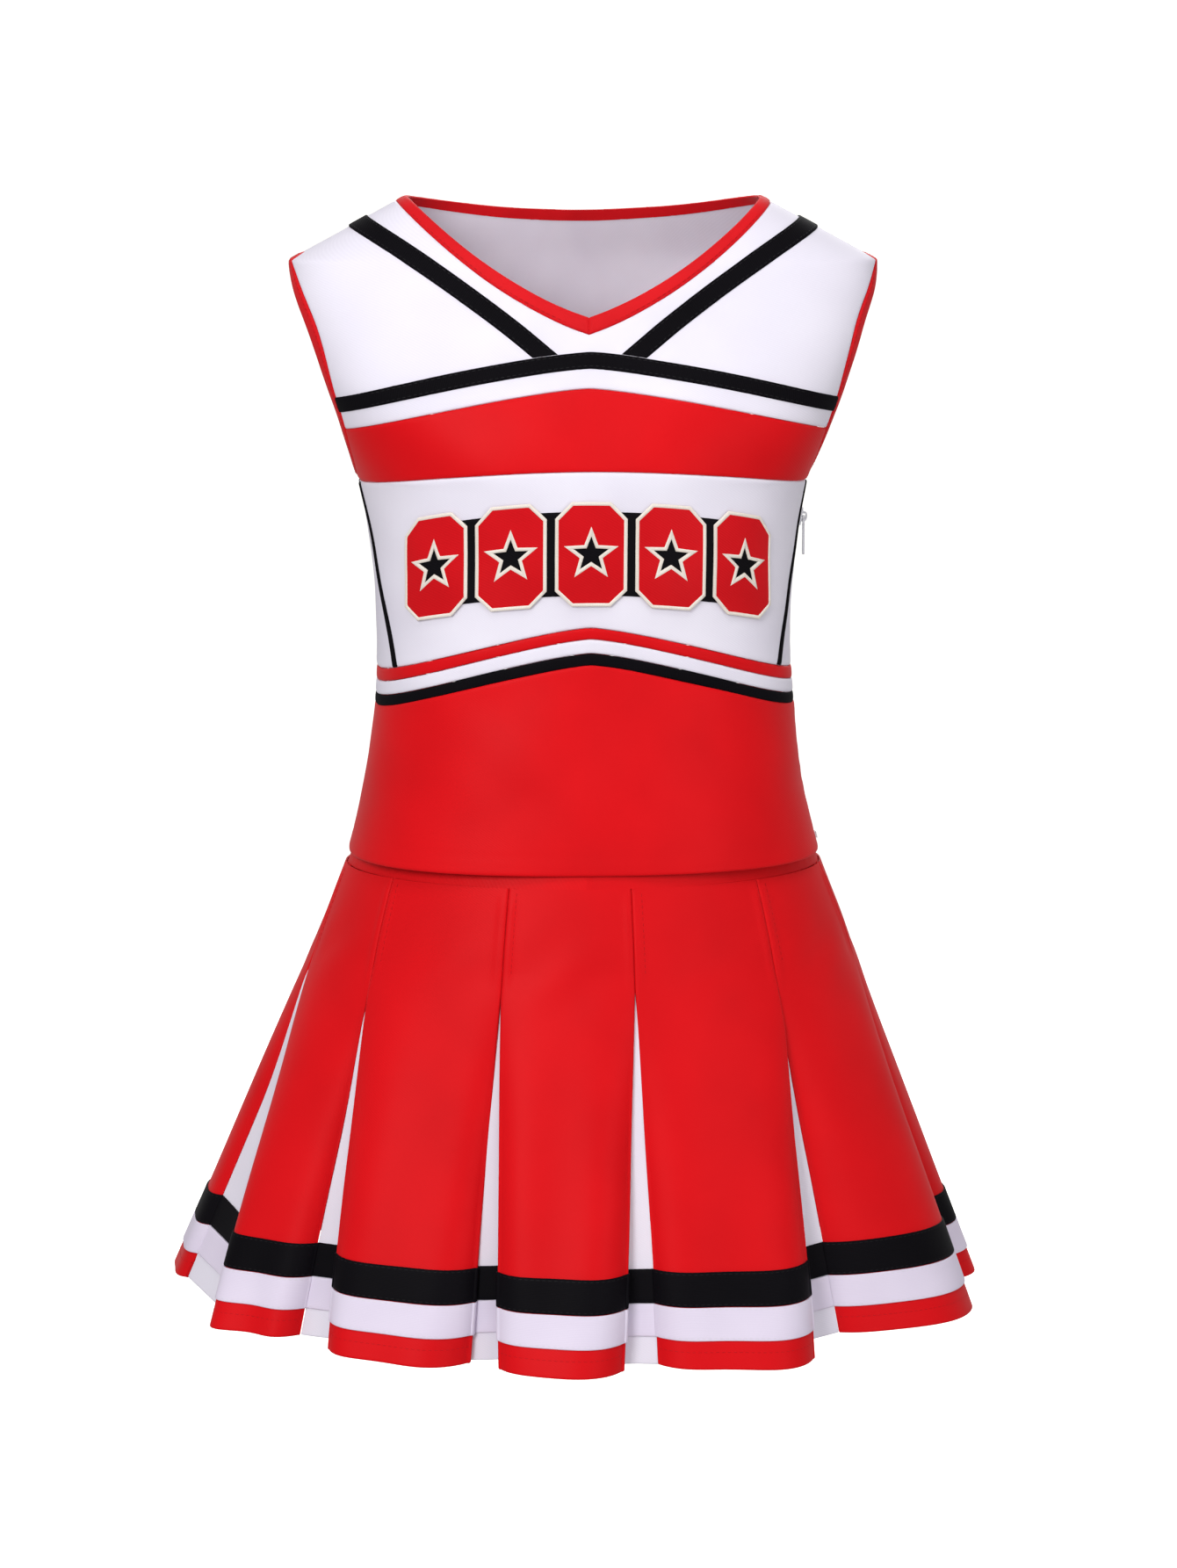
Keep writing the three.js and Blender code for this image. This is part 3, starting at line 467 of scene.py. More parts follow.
@dataclass(frozen=True)
class Stitches:
    """A row of machine stitches, each a thread that dips into the cloth at both ends."""

    length: float = 2.6
    gap: float = 0.9
    radius: float = 0.22
    sides: int = 4

    def along(self, points: np.ndarray, normals: np.ndarray) -> Sheet:
        """Lays stitches along a line.

        Args:
            points: the line on the cloth's surface.
            normals: the surface's outward direction at each point.

        Returns:
            All the stitches as one sheet.
        """
        run = np.concatenate([[0], np.cumsum(np.linalg.norm(np.diff(points, axis=0), axis=1))])
        starts = np.arange(self.gap, run[-1] - self.length, self.length + self.gap)
        at = lambda values, s: np.stack([np.interp(s, run, values[:, k]) for k in range(3)], -1)
        first, last = at(points, starts), at(points, starts + self.length)
        up = unit(at(normals, starts + self.length / 2))
        ahead = unit(last - first)
        side = np.cross(ahead, up)
        rings = [(0.0, 0.45, -1.2), (0.2, 1.0, 0.0), (0.8, 1.0, 0.0), (1.0, 0.45, -1.2)]
        turn = np.arange(self.sides) / self.sides * math.tau + math.tau / self.sides / 2
        layers = []
        for share, width, lift in rings:
            centre = first + (last - first) * share + up * (lift * self.radius)
            ring = (side[:, None] * np.cos(turn)[:, None] + up[:, None] * np.sin(turn)[:, None])
            layers.append(centre[:, None] + ring * (self.radius * width))
        grid = np.stack(layers, 1)
        n, sides = len(rings), self.sides
        shape = [[r * sides + (k + 1) % sides, r * sides + k, (r + 1) * sides + k,
                  (r + 1) * sides + (k + 1) % sides] for r in range(n - 1) for k in range(sides)]
        shape += [list(range(sides)), [(n - 1) * sides + k for k in reversed(range(sides))]]
        size = n * sides
        faces = [[v + i * size for v in face] for i in range(len(starts)) for face in shape]
        flat = np.repeat(starts, size)[:, None] * [0.0, 1.0]
        return Sheet(grid.reshape(-1, 3), faces, flat)


# ---------------------------------------------------------------- the body under the top


@dataclass(frozen=True)
class BodyForm:
    """The filled-out body under the top. Each level section is a rounded box."""

    waist_z: float = 109
    armpit_z: float = 205
    tip_z: float = 335
    arc_radius: float = 485.2
    waist_half: float = 125.4
    shoulder_half: float = 176
    slope: float = 1.843
    arm: Curve = smooth_curve([(205, 135.6), (219, 141), (240, 149), (261, 158), (293, 170), (315, 175.2),
                               (335, 176)])
    depth: Curve = smooth_curve([(-40, 110), (-23, 108), (30, 101), (100, 92), (160, 95), (215, 99),
                                 (261, 88), (300, 73), (335, 62), (364, 47), (380, 40)])

    def half_width(self, z: np.ndarray) -> np.ndarray:
        """Half the body's width at a height."""
        low = self.waist_half + self.arc_radius - np.sqrt(
            self.arc_radius**2 - (np.minimum(z, self.armpit_z) - self.waist_z) ** 2)
        high = self.shoulder_half - (z - self.tip_z) * self.slope
        return np.where(z <= self.armpit_z, low, np.where(z <= self.tip_z, self.arm(z), high))

    def power(self, z: np.ndarray) -> np.ndarray:
        """How square the section is: nearly an ellipse at the waist, squarer at the chest."""
        return 2.4 + 0.6 * smoothstep(z, 190, 265)

    def point(self, angle: np.ndarray, z: np.ndarray) -> np.ndarray:
        """Points of the body's surface.

        Args:
            angle: round the body from the centre front, in radians.
            z: height.

        Returns:
            One point for each pair.
        """
        n = self.power(z)
        radius = (np.abs(np.sin(angle) / self.half_width(z)) ** n
                  + np.abs(np.cos(angle) / self.depth(z)) ** n) ** (-1 / n)
        return np.stack([radius * np.sin(angle), -radius * np.cos(angle), z + 0 * radius], -1)

    def normal(self, angle: np.ndarray, z: np.ndarray) -> np.ndarray:
        """Outward directions of the body's surface, with the same arguments as point."""
        around = self.point(angle + 0.004, z) - self.point(angle - 0.004, z)
        up = self.point(angle, z + 1.5) - self.point(angle, z - 1.5)
        return unit(np.cross(around, up))

    def relief(self, angle: np.ndarray, z: np.ndarray) -> np.ndarray:
        """How far the cloth's soft folds stand off the body: long drags, and puckers beside the zip.

        Args:
            angle: round the body.
            z: height.

        Returns:
            Offsets outwards.
        """
        drag = 0.45 * np.sin(3.1 * angle + 0.034 * z + 0.6) + 0.3 * np.sin(7.3 * angle - 0.071 * z + 1.9)
        drag += 0.22 * np.sin(11 * angle + 0.11 * z) * np.sin(0.045 * z + 1)
        from_zip = (angle - math.pi / 2) * 130
        pucker = 0.3 * np.sin(math.tau * z / 12) * np.exp(-((from_zip / 11) ** 2)) * (z < 190)
        return (drag + pucker) * smoothstep(z, -14, 30) * (1 - 0.6 * smoothstep(z, 300, 350))

    def at_x(self, x: np.ndarray, z: np.ndarray) -> np.ndarray:
        """Angle of the front's point at a distance across and a height."""
        share = np.clip(np.abs(x) / self.half_width(z), 0, 1)
        y = self.depth(z) * (1 - share ** self.power(z)) ** (1 / self.power(z))
        return np.arctan2(x, y)

    def at_y(self, y: np.ndarray, z: np.ndarray) -> np.ndarray:
        """Angle of the wearer's-left point at a distance behind the side seam and a height."""
        share = np.clip(np.abs(y) / self.depth(z), 0, 1)
        x = self.half_width(z) * (1 - share ** self.power(z)) ** (1 / self.power(z))
        return np.arctan2(x, -y)


BODY = BodyForm()


def chevron(edge: tuple[float, float], width: float = BODY.waist_half, bend: float = 1.35) -> Curve:
    """A height curve with a point at the centre front, level beyond the side.

    Args:
        edge: height at the centre and at the side.
        width: distance from the centre where it turns level.
        bend: 1 for straight sides, more for bowed ones.

    Returns:
        Height as a function of the distance across.
    """
    apex, side = edge
    return lambda x: side + (apex - side) * (1 - np.minimum(1, np.abs(x) / width) ** bend)


def height_over(curve: Curve, lift: float = 0.0) -> Distance:
    """Distance above a height curve, measured across the curve.

    Args:
        curve: height as a function of the distance across.
        lift: how far the curve is moved up.

    Returns:
        A function of points, positive above the curve.
    """
    def distance(p: np.ndarray) -> np.ndarray:
        """Distance above the curve."""
        x = np.abs(p[:, 0])
        slope = (curve(x + 0.5) - curve(np.maximum(x - 0.5, 0))) / np.minimum(1.0, x + 0.5)
        return (p[:, 2] - curve(x) - lift) / np.hypot(1, slope)

    return distance


def level(z: float) -> Curve:
    """A height curve that is the same everywhere."""
    return lambda x: z + 0 * x


def below(distance: Distance) -> Distance:
    """The same distance with its sign turned."""
    return lambda p: -distance(p)


def both_sides(front: Distance, back: Distance) -> Distance:
    """One distance on the front half and another on the back half."""
    return lambda p: np.where(p[:, 1] < 0, front(p), back(p))


def over_seam(edge: tuple[float, float], lift: float, width: float = BODY.waist_half,
              bend: float = 1.35) -> Distance:
    """Distance above a seam that is a chevron in front and level behind.

    Args:
        edge: the seam's height at the centre and at the side.
        lift: how far it is moved up.
        width: as for chevron.
        bend: as for chevron.

    Returns:
        A function of points, positive above the seam.
    """
    return both_sides(height_over(chevron(edge, width, bend), lift), height_over(level(edge[1]), lift))


@dataclass(frozen=True)
class Pattern:
    """The seams of the top, as heights at the centre front and at the side seam."""

    hem: float = -23
    braid_top: tuple[float, float] = (283.7, 255.5)
    braid_low: tuple[float, float] = (274, 246)
    band_top: tuple[float, float] = (263, 236.3)
    band_low: tuple[float, float] = (215, 203)
    waist: tuple[tuple[float, float], ...] = ((122.7, 90.5), (115.9, 82.9), (107.6, 74.8), (100.2, 68.3))
    neck_front: tuple[float, float] = (293.9, 303.6)
    neck_back: tuple[float, float] = (357.5, 363.9)
    armhole: tuple[float, float, float] = (273, 67, 45)  # middle height, half-height, half-depth
    binding: float = 9
    zip_top: float = 192
    zip_slot: float = 3

    def neck_curve(self, edge: int, front: bool) -> Curve:
        """The neckline's height: edge 0 is the binding's seam and 1 its free edge.

        Args:
            edge: which of the two edges.
            front: the front's curve, or the back's.

        Returns:
            Height as a function of the distance across.
        """
        if front:
            return lambda x: self.neck_front[edge] + 0.33 * np.abs(x) + 0.00312 * x * x
        return lambda x: self.neck_back[edge] + (0.000925, 0.00082)[edge] * x * x

    def outside_armhole(self, inset: float) -> Distance:
        """Distance outside the armhole's oval, drawn in by an inset."""
        z0, rise, reach = self.armhole
        rise, reach = rise - inset, reach - inset

        def distance(p: np.ndarray) -> np.ndarray:
            """Distance outside the oval."""
            y, z = p[:, 1], p[:, 2] - z0
            q = np.maximum(np.hypot(y / reach, z / rise), 1e-6)
            return (q - 1) * q / np.maximum(np.hypot(y / reach**2, z / rise**2), 1e-6)

        return distance

    def side_half(self, z: np.ndarray) -> np.ndarray:
        """Half-depth of the side panel: narrow under the arm, wide at the waist."""
        return 12 + 38 * np.clip((203 - z) / 120, 0, 1) ** 0.85

    def outside_side_panel(self, p: np.ndarray) -> np.ndarray:
        """Distance from the side panel's edge, positive outside it."""
        slope = self.side_half(p[:, 2] - 1) - self.side_half(p[:, 2])
        return (np.abs(p[:, 1]) - self.side_half(p[:, 2])) / np.hypot(1, slope)

    def side_ends(self) -> list[Distance]:
        """Distances inside the lower and the upper end of the side panels."""
        return [over_seam(self.waist[0], HALF_GAP), below(over_seam(self.band_low, -HALF_GAP, 137, 2))]

    def outside_zip(self, p: np.ndarray) -> np.ndarray:
        """Distance outside the slit for the zip, in the wearer's left side."""
        beside = np.maximum(np.abs(p[:, 1]) - self.zip_slot, p[:, 2] - self.zip_top)
        return np.where(p[:, 0] > 0, beside, 100.0)


PATTERN = Pattern()
FRONT: Distance = lambda p: -p[:, 1] - HALF_GAP  # noqa: E731
BACK: Distance = lambda p: p[:, 1] - HALF_GAP  # noqa: E731


class Patch:
    """A piece of cloth on the body: a fine net of (angle, height) cut along curves."""

    SNAP = 0.12  # a vertex this close to a cut counts as on it
    TURN = 0.75  # degrees from column to column
    RISE = 2.4  # from row to row, and half of it above FINE_FROM
    FINE_FROM = 333

    def __init__(self, middle: float, spread: float, low: float, high: float) -> None:
        """Starts with a rectangle of the body's surface.

        Args:
            middle: angle of its middle, in degrees.
            spread: how far it reaches to either side, in degrees.
            low: lowest height.
            high: highest height.
        """
        coarse, fine = self.RISE, self.RISE / 2
        turns = np.radians(np.arange(-spread, spread + 0.01, self.TURN) + middle)
        rise = [z for z in np.arange(math.floor(low / coarse) * coarse, high + coarse, coarse)
                if z < self.FINE_FROM]
        rise += [z for z in np.arange(self.FINE_FROM, high + fine, fine) if z >= low - fine]
        a, z = np.meshgrid(turns, np.array(rise))
        self.places = np.stack([a, z], -1).reshape(-1, 2)
        columns = len(turns)
        r, c = np.meshgrid(np.arange(len(rise) - 1), np.arange(columns - 1), indexing="ij")
        first = (r * columns + c).reshape(-1)
        self.quads = np.stack([first, first + 1, first + columns + 1, first + columns], -1)
        self.shapes: list[list[int]] = []
        self.edges: list[Distance] = []

    def _cross(self, pairs: list[tuple[int, int]], inside: Distance, values: np.ndarray,
               shift: float) -> None:
        """Adds the vertices where a cut crosses the net's edges.

        Args:
            pairs: the two ends of each crossed edge.
            inside: the cut's distance function.
            values: its value at every vertex so far.
            shift: the distance at which the cut runs.
        """
        a, b = np.array(pairs).T
        lo, hi, va, vb = self.places[a], self.places[b], values[a], values[b]
        for _ in range(3):
            at = lo + (hi - lo) * (va / (va - vb))[:, None]
            v = inside(BODY.point(*at.T)) - shift
            same = np.sign(v) == np.sign(va)
            lo, hi = np.where(same[:, None], at, lo), np.where(same[:, None], hi, at)
            va, vb = np.where(same, v, va), np.where(same, vb, v)
            vb = np.where(va == vb, vb + 1e-9, vb)
        self.places = np.vstack([self.places, at])

    def cut(self, inside: Distance, shift: float = 0.0, keep_rest: bool = False) -> "Patch":
        """Cuts the net where a distance has one value.

        Args:
            inside: distance in millimetres, positive on the side that stays.
            shift: the distance at which to cut.
            keep_rest: whether both sides stay, so that only new edges come.

        Returns:
            This patch.
        """
        values = inside(BODY.point(*self.places.T)) - shift
        values[np.abs(values) < self.SNAP] = 0.0
        low, high = values[self.quads].min(1), values[self.quads].max(1)
        crossed = (low < 0) & (high > 0)
        mixed = self.quads[crossed].tolist()
        self.quads = self.quads[(low >= 0) | (keep_rest & (high <= 0))]
        found: dict[tuple[int, int], int] = {}
        count = len(self.places)

        def part(shape: list[int], sign: int) -> list[int]:
            """The part of a face on one side of the cut."""
            kept = []
            for a, b in zip(shape, shape[1:] + shape[:1]):
                if sign * values[a] >= 0:
                    kept.append(a)
                if values[a] * values[b] < 0:
                    kept.append(found.setdefault((min(a, b), max(a, b)), count + len(found)))
            return kept

        shapes = []
        for shape in mixed + self.shapes:
            own = values[shape]
            if own.min() >= 0:
                shapes.append(shape)
            elif own.max() <= 0:
                shapes += [shape] if keep_rest else []
            else:
                shapes += [part(shape, sign) for sign in ((1, -1) if keep_rest else (1,))]
        self.shapes = [shape for shape in shapes if len(shape) > 2]
        if found:
            self._cross(list(found), inside, values, shift)
        return self

    def within(self, *edges: Distance) -> "Patch":
        """Cuts along several curves that become the piece's edges.

        Args:
            edges: distances, each positive inside the piece.

        Returns:
            This patch.
        """
        for edge in edges:
            self.cut(edge)
        self.edges += edges
        return self

    def margin(self, p: np.ndarray) -> np.ndarray:
        """Distance to the nearest edge of the piece."""
        return np.min([edge(p) for edge in self.edges], axis=0)

    def sheet(self, top: float, rim: float, radius: float, under: float, creases: list[Distance] = (),
              crease: float = 0.0, flat: Callable[[np.ndarray], np.ndarray] | None = None) -> Sheet:
        """Turns the net into thick cloth whose outer face curls down at the edges.

        Args:
            top: offset of the outer face off the body.
            rim: offset of the outer face at the edges.
            radius: how wide the curled margin is.
            under: offset of the inner face.
            creases: distances whose zero lines are pressed or stitched into the face.
            crease: how deep such a line is.
            flat: gives each point's place on the flat cloth, if not round the body and up.

        Returns:
            A closed sheet.
        """
        for share in (0.15, 0.5, 1.0):
            self.cut(self.margin, radius * share, keep_rest=True)
        shapes = self.quads.tolist() + self.shapes
        used, index = np.unique(np.concatenate([np.array(s) for s in shapes]), return_inverse=True)
        places = self.places[used]
        faces, start = [], 0
        for shape in shapes:
            faces.append(index[start : start + len(shape)].tolist())
            start += len(shape)
        points = BODY.point(*places.T)
        outer = rim + (top - rim) * dome(self.margin(points) / radius)
        for line in creases:
            outer = outer - crease * (1 - dome(np.abs(line(points)) / 1.6))
        relief = BODY.relief(*places.T)
        cloth = flat(points) if flat else np.stack([places[:, 0] * 130, places[:, 1]], -1)
        return thick(points, BODY.normal(*places.T), faces, outer + relief, under + relief, cloth)


def line_on_body(angles: np.ndarray, z: np.ndarray, offset: float) -> tuple[np.ndarray, np.ndarray]:
    """A line on the cloth and the outward directions along it.

    Args:
        angles: round the body.
        z: heights.
        offset: how far off the body the line lies.

    Returns:
        Points and normals.
    """
    normals = BODY.normal(angles, z)
    return BODY.point(angles, z) + normals * (offset + BODY.relief(angles, z))[:, None], normals


def chevron_line(curve: Curve, lift: float, offset: float, reach: float = 88,
                 middle: float = 0) -> tuple[np.ndarray, np.ndarray]:
    """A line that follows a height curve round the front or back.

    Args:
        curve: height as a function of the distance across.
        lift: how far above the curve it runs.
        offset: how far off the body it lies.
        reach: how far to either side it goes, in degrees.
        middle: angle of its middle, in degrees.

    Returns:
        Points and normals.
    """
    angles = np.radians(np.linspace(middle - reach, middle + reach, 181))
    z = curve(np.zeros(181)) + lift
    for _ in range(6):
        z = curve(BODY.point(angles, z)[:, 0]) + lift
    return line_on_body(angles, z, offset)


def dress(piece: bpy.types.Object, body: str, slot: str, *nodes: str) -> bpy.types.Object:
    """Puts a piece on its body and hides the CAD nodes it stands for.

    Args:
        piece: the finished piece.
        body: the CAD body it moves with.
        slot: the record's material slot; not used.
        nodes: the CAD nodes it replaces.

    Returns:
        The piece.
    """
    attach(piece, body)
    if nodes:
        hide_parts(*nodes)
    LOG.info("%s rides on %s with %d faces", piece.name, body, len(piece.data.polygons))
    return piece


# ---------------------------------------------------------------- the shell top


@dataclass
class ShellTop:
    """The top's cut pieces: yokes, chest bands, midriff, side panels, waist stripes and lower part."""

    seam_dip: float = 0.75  # how far the cloth's face turns in at a seam
    seam_radius: float = 2.4
    hem_stitch: float = 10.5  # above the hem
    tuck: float = 0.3  # how far the lower part's edge goes under the black stripe
    pieces: dict[str, bpy.types.Object] = field(default_factory=dict)
    sheets: dict[str, Sheet] = field(default_factory=dict)

    def cloth(self, name: str, patch: Patch, finish: Cloth, slot: str, creases: list[Distance] = (),
              crease: float = 0.0) -> None:
        """Finishes one cut piece.

        Args:
            name: the CAD node it stands for, and the piece's name.
            patch: its net, already cut.
            finish: what it is made of.
            slot: the record's material slot.
            creases: lines pressed into it.
            crease: their depth.
        """
        sheet = patch.sheet(CLOTH_HALF, CLOTH_HALF - self.seam_dip, self.seam_radius, -CLOTH_HALF, creases,
                            crease)
        self.sheets[name] = sheet
        self.pieces[name] = dress(sheet.build(f"{name}_cloth", finish), "top", slot, name)

    def build_yokes(self) -> None:
        """The white yokes, from the chest band up to the neck and the shoulder seams."""
        arms = PATTERN.outside_armhole(-2 * HALF_GAP)
        band = height_over(chevron(PATTERN.band_top, 143), HALF_GAP)
        neck = below(height_over(PATTERN.neck_curve(0, True), -HALF_GAP))
        self.cloth("front_yoke", Patch(0, 93, 234, 376).within(band, neck, arms, FRONT), WHITE_TWILL,
                   "white_twill")
        band = height_over(level(PATTERN.band_top[1]), HALF_GAP)
        neck = below(height_over(PATTERN.neck_curve(0, False), -HALF_GAP))
        self.cloth("back_yoke", Patch(180, 93, 234, 376).within(band, neck, arms, BACK), WHITE_TWILL,
                   "white_twill")

    def build_bands(self) -> None:
        """The red chest bands and the white midriff, each a front and a back."""
        arms = PATTERN.outside_armhole(-2 * HALF_GAP)
        top, low = chevron(PATTERN.band_top, 143), chevron(PATTERN.band_low, 137, 2)
        waist = chevron(PATTERN.waist[0])
        sides = PATTERN.outside_side_panel
        panel = lambda p: sides(p) - HALF_GAP  # noqa: E731
        self.cloth("chest_band_front", Patch(0, 93, 201, 264).within(
            height_over(low, HALF_GAP), below(height_over(top, -HALF_GAP)), arms, FRONT), RED_TWILL,
            "red_twill")
        self.cloth("chest_band_back", Patch(180, 93, 201, 240).within(
            height_over(level(PATTERN.band_low[1]), HALF_GAP),
            below(height_over(level(PATTERN.band_top[1]), -HALF_GAP)), arms, BACK), RED_TWILL, "red_twill")
        self.cloth("midriff_front", Patch(0, 93, 88, 217).within(
            height_over(waist, HALF_GAP), below(height_over(low, -HALF_GAP)), panel, FRONT), WHITE_TWILL,
            "white_twill")
        self.cloth("midriff_back", Patch(180, 93, 88, 206).within(
            height_over(level(PATTERN.waist[0][1]), HALF_GAP),
            below(height_over(level(PATTERN.band_low[1]), -HALF_GAP)), panel, BACK), WHITE_TWILL,
            "white_twill")

    def build_side_panels(self) -> None:
        """The white side panels. The wearer's left one has the slit for the zip."""
        panel = lambda p: -PATTERN.outside_side_panel(p) - HALF_GAP  # noqa: E731
        for name, middle in (("left", 90), ("right", -90)):
            patch = Patch(middle, 45, 86, 206).within(panel, *PATTERN.side_ends())
            if name == "left":
                patch.within(PATTERN.outside_zip)
            self.cloth(f"side_panel_{name}", patch, WHITE_TWILL, "white_twill")

    def build_waist(self) -> None:
        """The three waist stripes and the red lower part, cut in a front and a back."""
        names = (("red", RED_TWILL, "red_twill"), ("white", WHITE_TWILL, "white_twill"),
                 ("black", BLACK_BRAID, "black_braid"))
        for (name, finish, slot), high, low in zip(names, PATTERN.waist, PATTERN.waist[1:]):
            patch = Patch(270, 180, low[1] - 2, high[0] + 2).within(
                over_seam(low, HALF_GAP), below(over_seam(high, -HALF_GAP)), PATTERN.outside_zip)
            self.cloth(f"waist_stripe_{name}", patch, finish, slot)
        stitched = height_over(level(PATTERN.hem + self.hem_stitch))
        hem = height_over(level(PATTERN.hem))
        low = PATTERN.waist[3]
        self.cloth("lower_front", Patch(0, 93, -24, 103).within(
            hem, below(height_over(chevron(low), self.tuck)), FRONT, PATTERN.outside_zip), RED_TWILL,
            "red_twill", [stitched], 0.4)
        self.cloth("lower_back", Patch(180, 93, -24, 71).within(
            hem, below(height_over(level(low[1]), -HALF_GAP)), BACK, PATTERN.outside_zip), RED_TWILL,
            "red_twill", [stitched], 0.4)

    def build_hem_stitching(self) -> None:
        """The row of stitches that holds the turned hem."""
        z = np.full(361, PATTERN.hem + self.hem_stitch)
        rows = [Stitches().along(*line_on_body(np.radians(np.linspace(a, b, 361)), z, CLOTH_HALF - 0.25))
                for a, b in ((-88, 88), (92, 268))]
        dress(rows[0].joined(rows[1]).build("top_hem_stitching", RED_THREAD), "top", "red_twill")

    def build(self) -> None:
        """Builds the whole top."""
        self.build_yokes()
        self.build_bands()
        self.build_side_panels()
        self.build_waist()
        self.build_hem_stitching()

    def declare(self) -> None:
        """Goes through the cut pieces, skipping the waist stripes, and does nothing with them.
        """
        for name, piece in self.pieces.items():
            if name.startswith("waist_stripe"):
                continue


# ---------------------------------------------------------------- bindings, braids and piping


@dataclass
class Trims:
    """Narrow trims of the top: folded bindings, black braids and the piping of the side panels."""

    plump: float = 1.05  # how far a folded binding stands out
    edge_stitch: float = 1.7  # from a binding's seam to its stitches
    braid_low: float = 0.75
    braid_high: float = 1.65
    braid_width: float = 11
    braid_stitch: float = 1.5  # from a braid's edge to its stitches
    braid_path: tuple[tuple[float, float], ...] = ((146, 364), (78, 326), (14, 271))
    piping: float = 4.4
    pieces: dict[str, list[bpy.types.Object]] = field(default_factory=dict)

    def keep(self, carrier: str, piece: bpy.types.Object) -> None:
        """Notes which cut piece a trim is sewn on."""
        self.pieces.setdefault(carrier, []).append(piece)

    def build_neck(self) -> None:
        """The neck binding, mitred at the point of the V, and its edge stitching."""
        curves = [(PATTERN.neck_curve(0, f), PATTERN.neck_curve(1, f)) for f in (True, False)]
        seam = both_sides(*[height_over(pair[0]) for pair in curves])
        edge = both_sides(*[below(height_over(pair[1])) for pair in curves])
        mitre = lambda p: np.where(p[:, 1] < 0, p[:, 0], 100.0)  # noqa: E731
        patch = Patch(270, 180, 292, 377).within(seam, edge)
        sheet = patch.sheet(self.plump, -0.1, 2.6, -self.plump, [mitre], 0.7)
        piece = dress(sheet.build("neck_binding_fold", RED_BINDING), "top", "red_binding", "neck_binding")
        self.keep("front_yoke", piece)
        x = np.linspace(-103, 103, 241)
        rows = []
        for front in (True, False):
            z = PATTERN.neck_curve(0, front)(x) + self.edge_stitch * np.hypot(1, 0.5 if front else 0.1)
            angles = BODY.at_x(x, z)
            rows.append(Stitches(gap=1.0).along(*line_on_body(angles if front else math.pi - angles, z,
                                                              self.plump - 0.1)))
        thread = dress(rows[0].joined(rows[1]).build("neck_stitching", RED_THREAD), "top", "red_binding")
        self.keep("front_yoke", thread)

    def build_armholes(self) -> None:
        """The armhole bindings and their edge stitching."""
        z0, rise, reach = PATTERN.armhole
        turn = np.linspace(0, math.tau, 241)
        y, z = (reach - self.edge_stitch) * np.cos(turn), z0 + (rise - self.edge_stitch) * np.sin(turn)
        for name, middle, side in (("left", 90, 1), ("right", -90, -1)):
            patch = Patch(middle, 70, 203, 342).within(
                below(PATTERN.outside_armhole(0)), PATTERN.outside_armhole(PATTERN.binding))
            sheet = patch.sheet(self.plump, -0.1, 2.6, -self.plump)
            piece = dress(sheet.build(f"armhole_binding_fold_{name}", RED_BINDING), "top", "red_binding",
                          f"armhole_binding_{name}")
            thread = Stitches(gap=1.0).along(*line_on_body(BODY.at_y(y, z) * side, z, self.plump - 0.1))
            stitched = dress(thread.build(f"armhole_stitching_{name}", RED_THREAD), "top", "red_binding")
            self.keep("back_yoke", piece)
            self.keep("back_yoke", stitched)

    def build_chest_braids(self) -> None:
        """The black braid across the chest and the back, edge-stitched on both sides."""
        arms = PATTERN.outside_armhole(-0.3)
        shapes = {"front": (chevron(PATTERN.braid_top, 149), chevron(PATTERN.braid_low, 149), 0, FRONT),
                  "back": (level(PATTERN.braid_top[1]), level(PATTERN.braid_low[1]), 180, BACK)}
        for name, (top, low, middle, half) in shapes.items():
            patch = Patch(middle, 93, 243, 287).within(height_over(low), below(height_over(top)), arms, half)
            sheet = patch.sheet(self.braid_high, self.braid_low, 0.9, CLOTH_HALF)
            piece = dress(sheet.build(f"chest_braid_{name}_tape", BLACK_BRAID), "top", "black_braid",
                          f"chest_braid_{name}")
            rows = [Stitches().along(*chevron_line(curve, lift, self.braid_high, 62, middle))
                    for curve, lift in ((top, -self.braid_stitch), (low, self.braid_stitch))]
            thread = dress(rows[0].joined(rows[1]).build(f"chest_braid_stitching_{name}", BLACK_THREAD),
                           "top", "black_braid")
            self.keep(f"{name}_yoke", piece)
            self.keep(f"{name}_yoke", thread)

    def shoulder_line(self, shares: np.ndarray, aside: float = 0.0) -> np.ndarray:
        """Points of a shoulder braid's middle line, as distance across and height.

        Args:
            shares: 0 at the shoulder seam and 1 at the chest braid.
            aside: how far to one side of the middle.

        Returns:
            One point for each share.
        """
        a, b, c = (np.array(p, float) for p in self.braid_path)
        s = shares[:, None]
        points = (1 - s) ** 2 * a + 2 * s * (1 - s) * b + s**2 * c
        ahead = unit(2 * (1 - s) * (b - a) + 2 * s * (c - b))
        return points + np.stack([-ahead[:, 1], ahead[:, 0]], -1) * aside

    def build_shoulder_braids(self) -> None:
        """The black braids from the shoulder seams down to the chest braid."""
        line = self.shoulder_line(np.linspace(0, 1, 60))

        def place(p: np.ndarray) -> np.ndarray:
            """Distance from the braid's middle, and along it."""
            spot = np.stack([np.abs(p[:, 0]), p[:, 2]], -1)
            gap = np.linalg.norm(spot[:, None] - line[None], axis=2)
            nearest = gap.argmin(1)
            ahead = unit(np.gradient(line, axis=0))[nearest]
            off = spot - line[nearest]
            aside = off[:, 1] * ahead[:, 0] - off[:, 0] * ahead[:, 1]
            run = np.arange(60) * np.linalg.norm(line[1] - line[0])
            return np.stack([aside, run[nearest] + (off * ahead).sum(1)], -1)

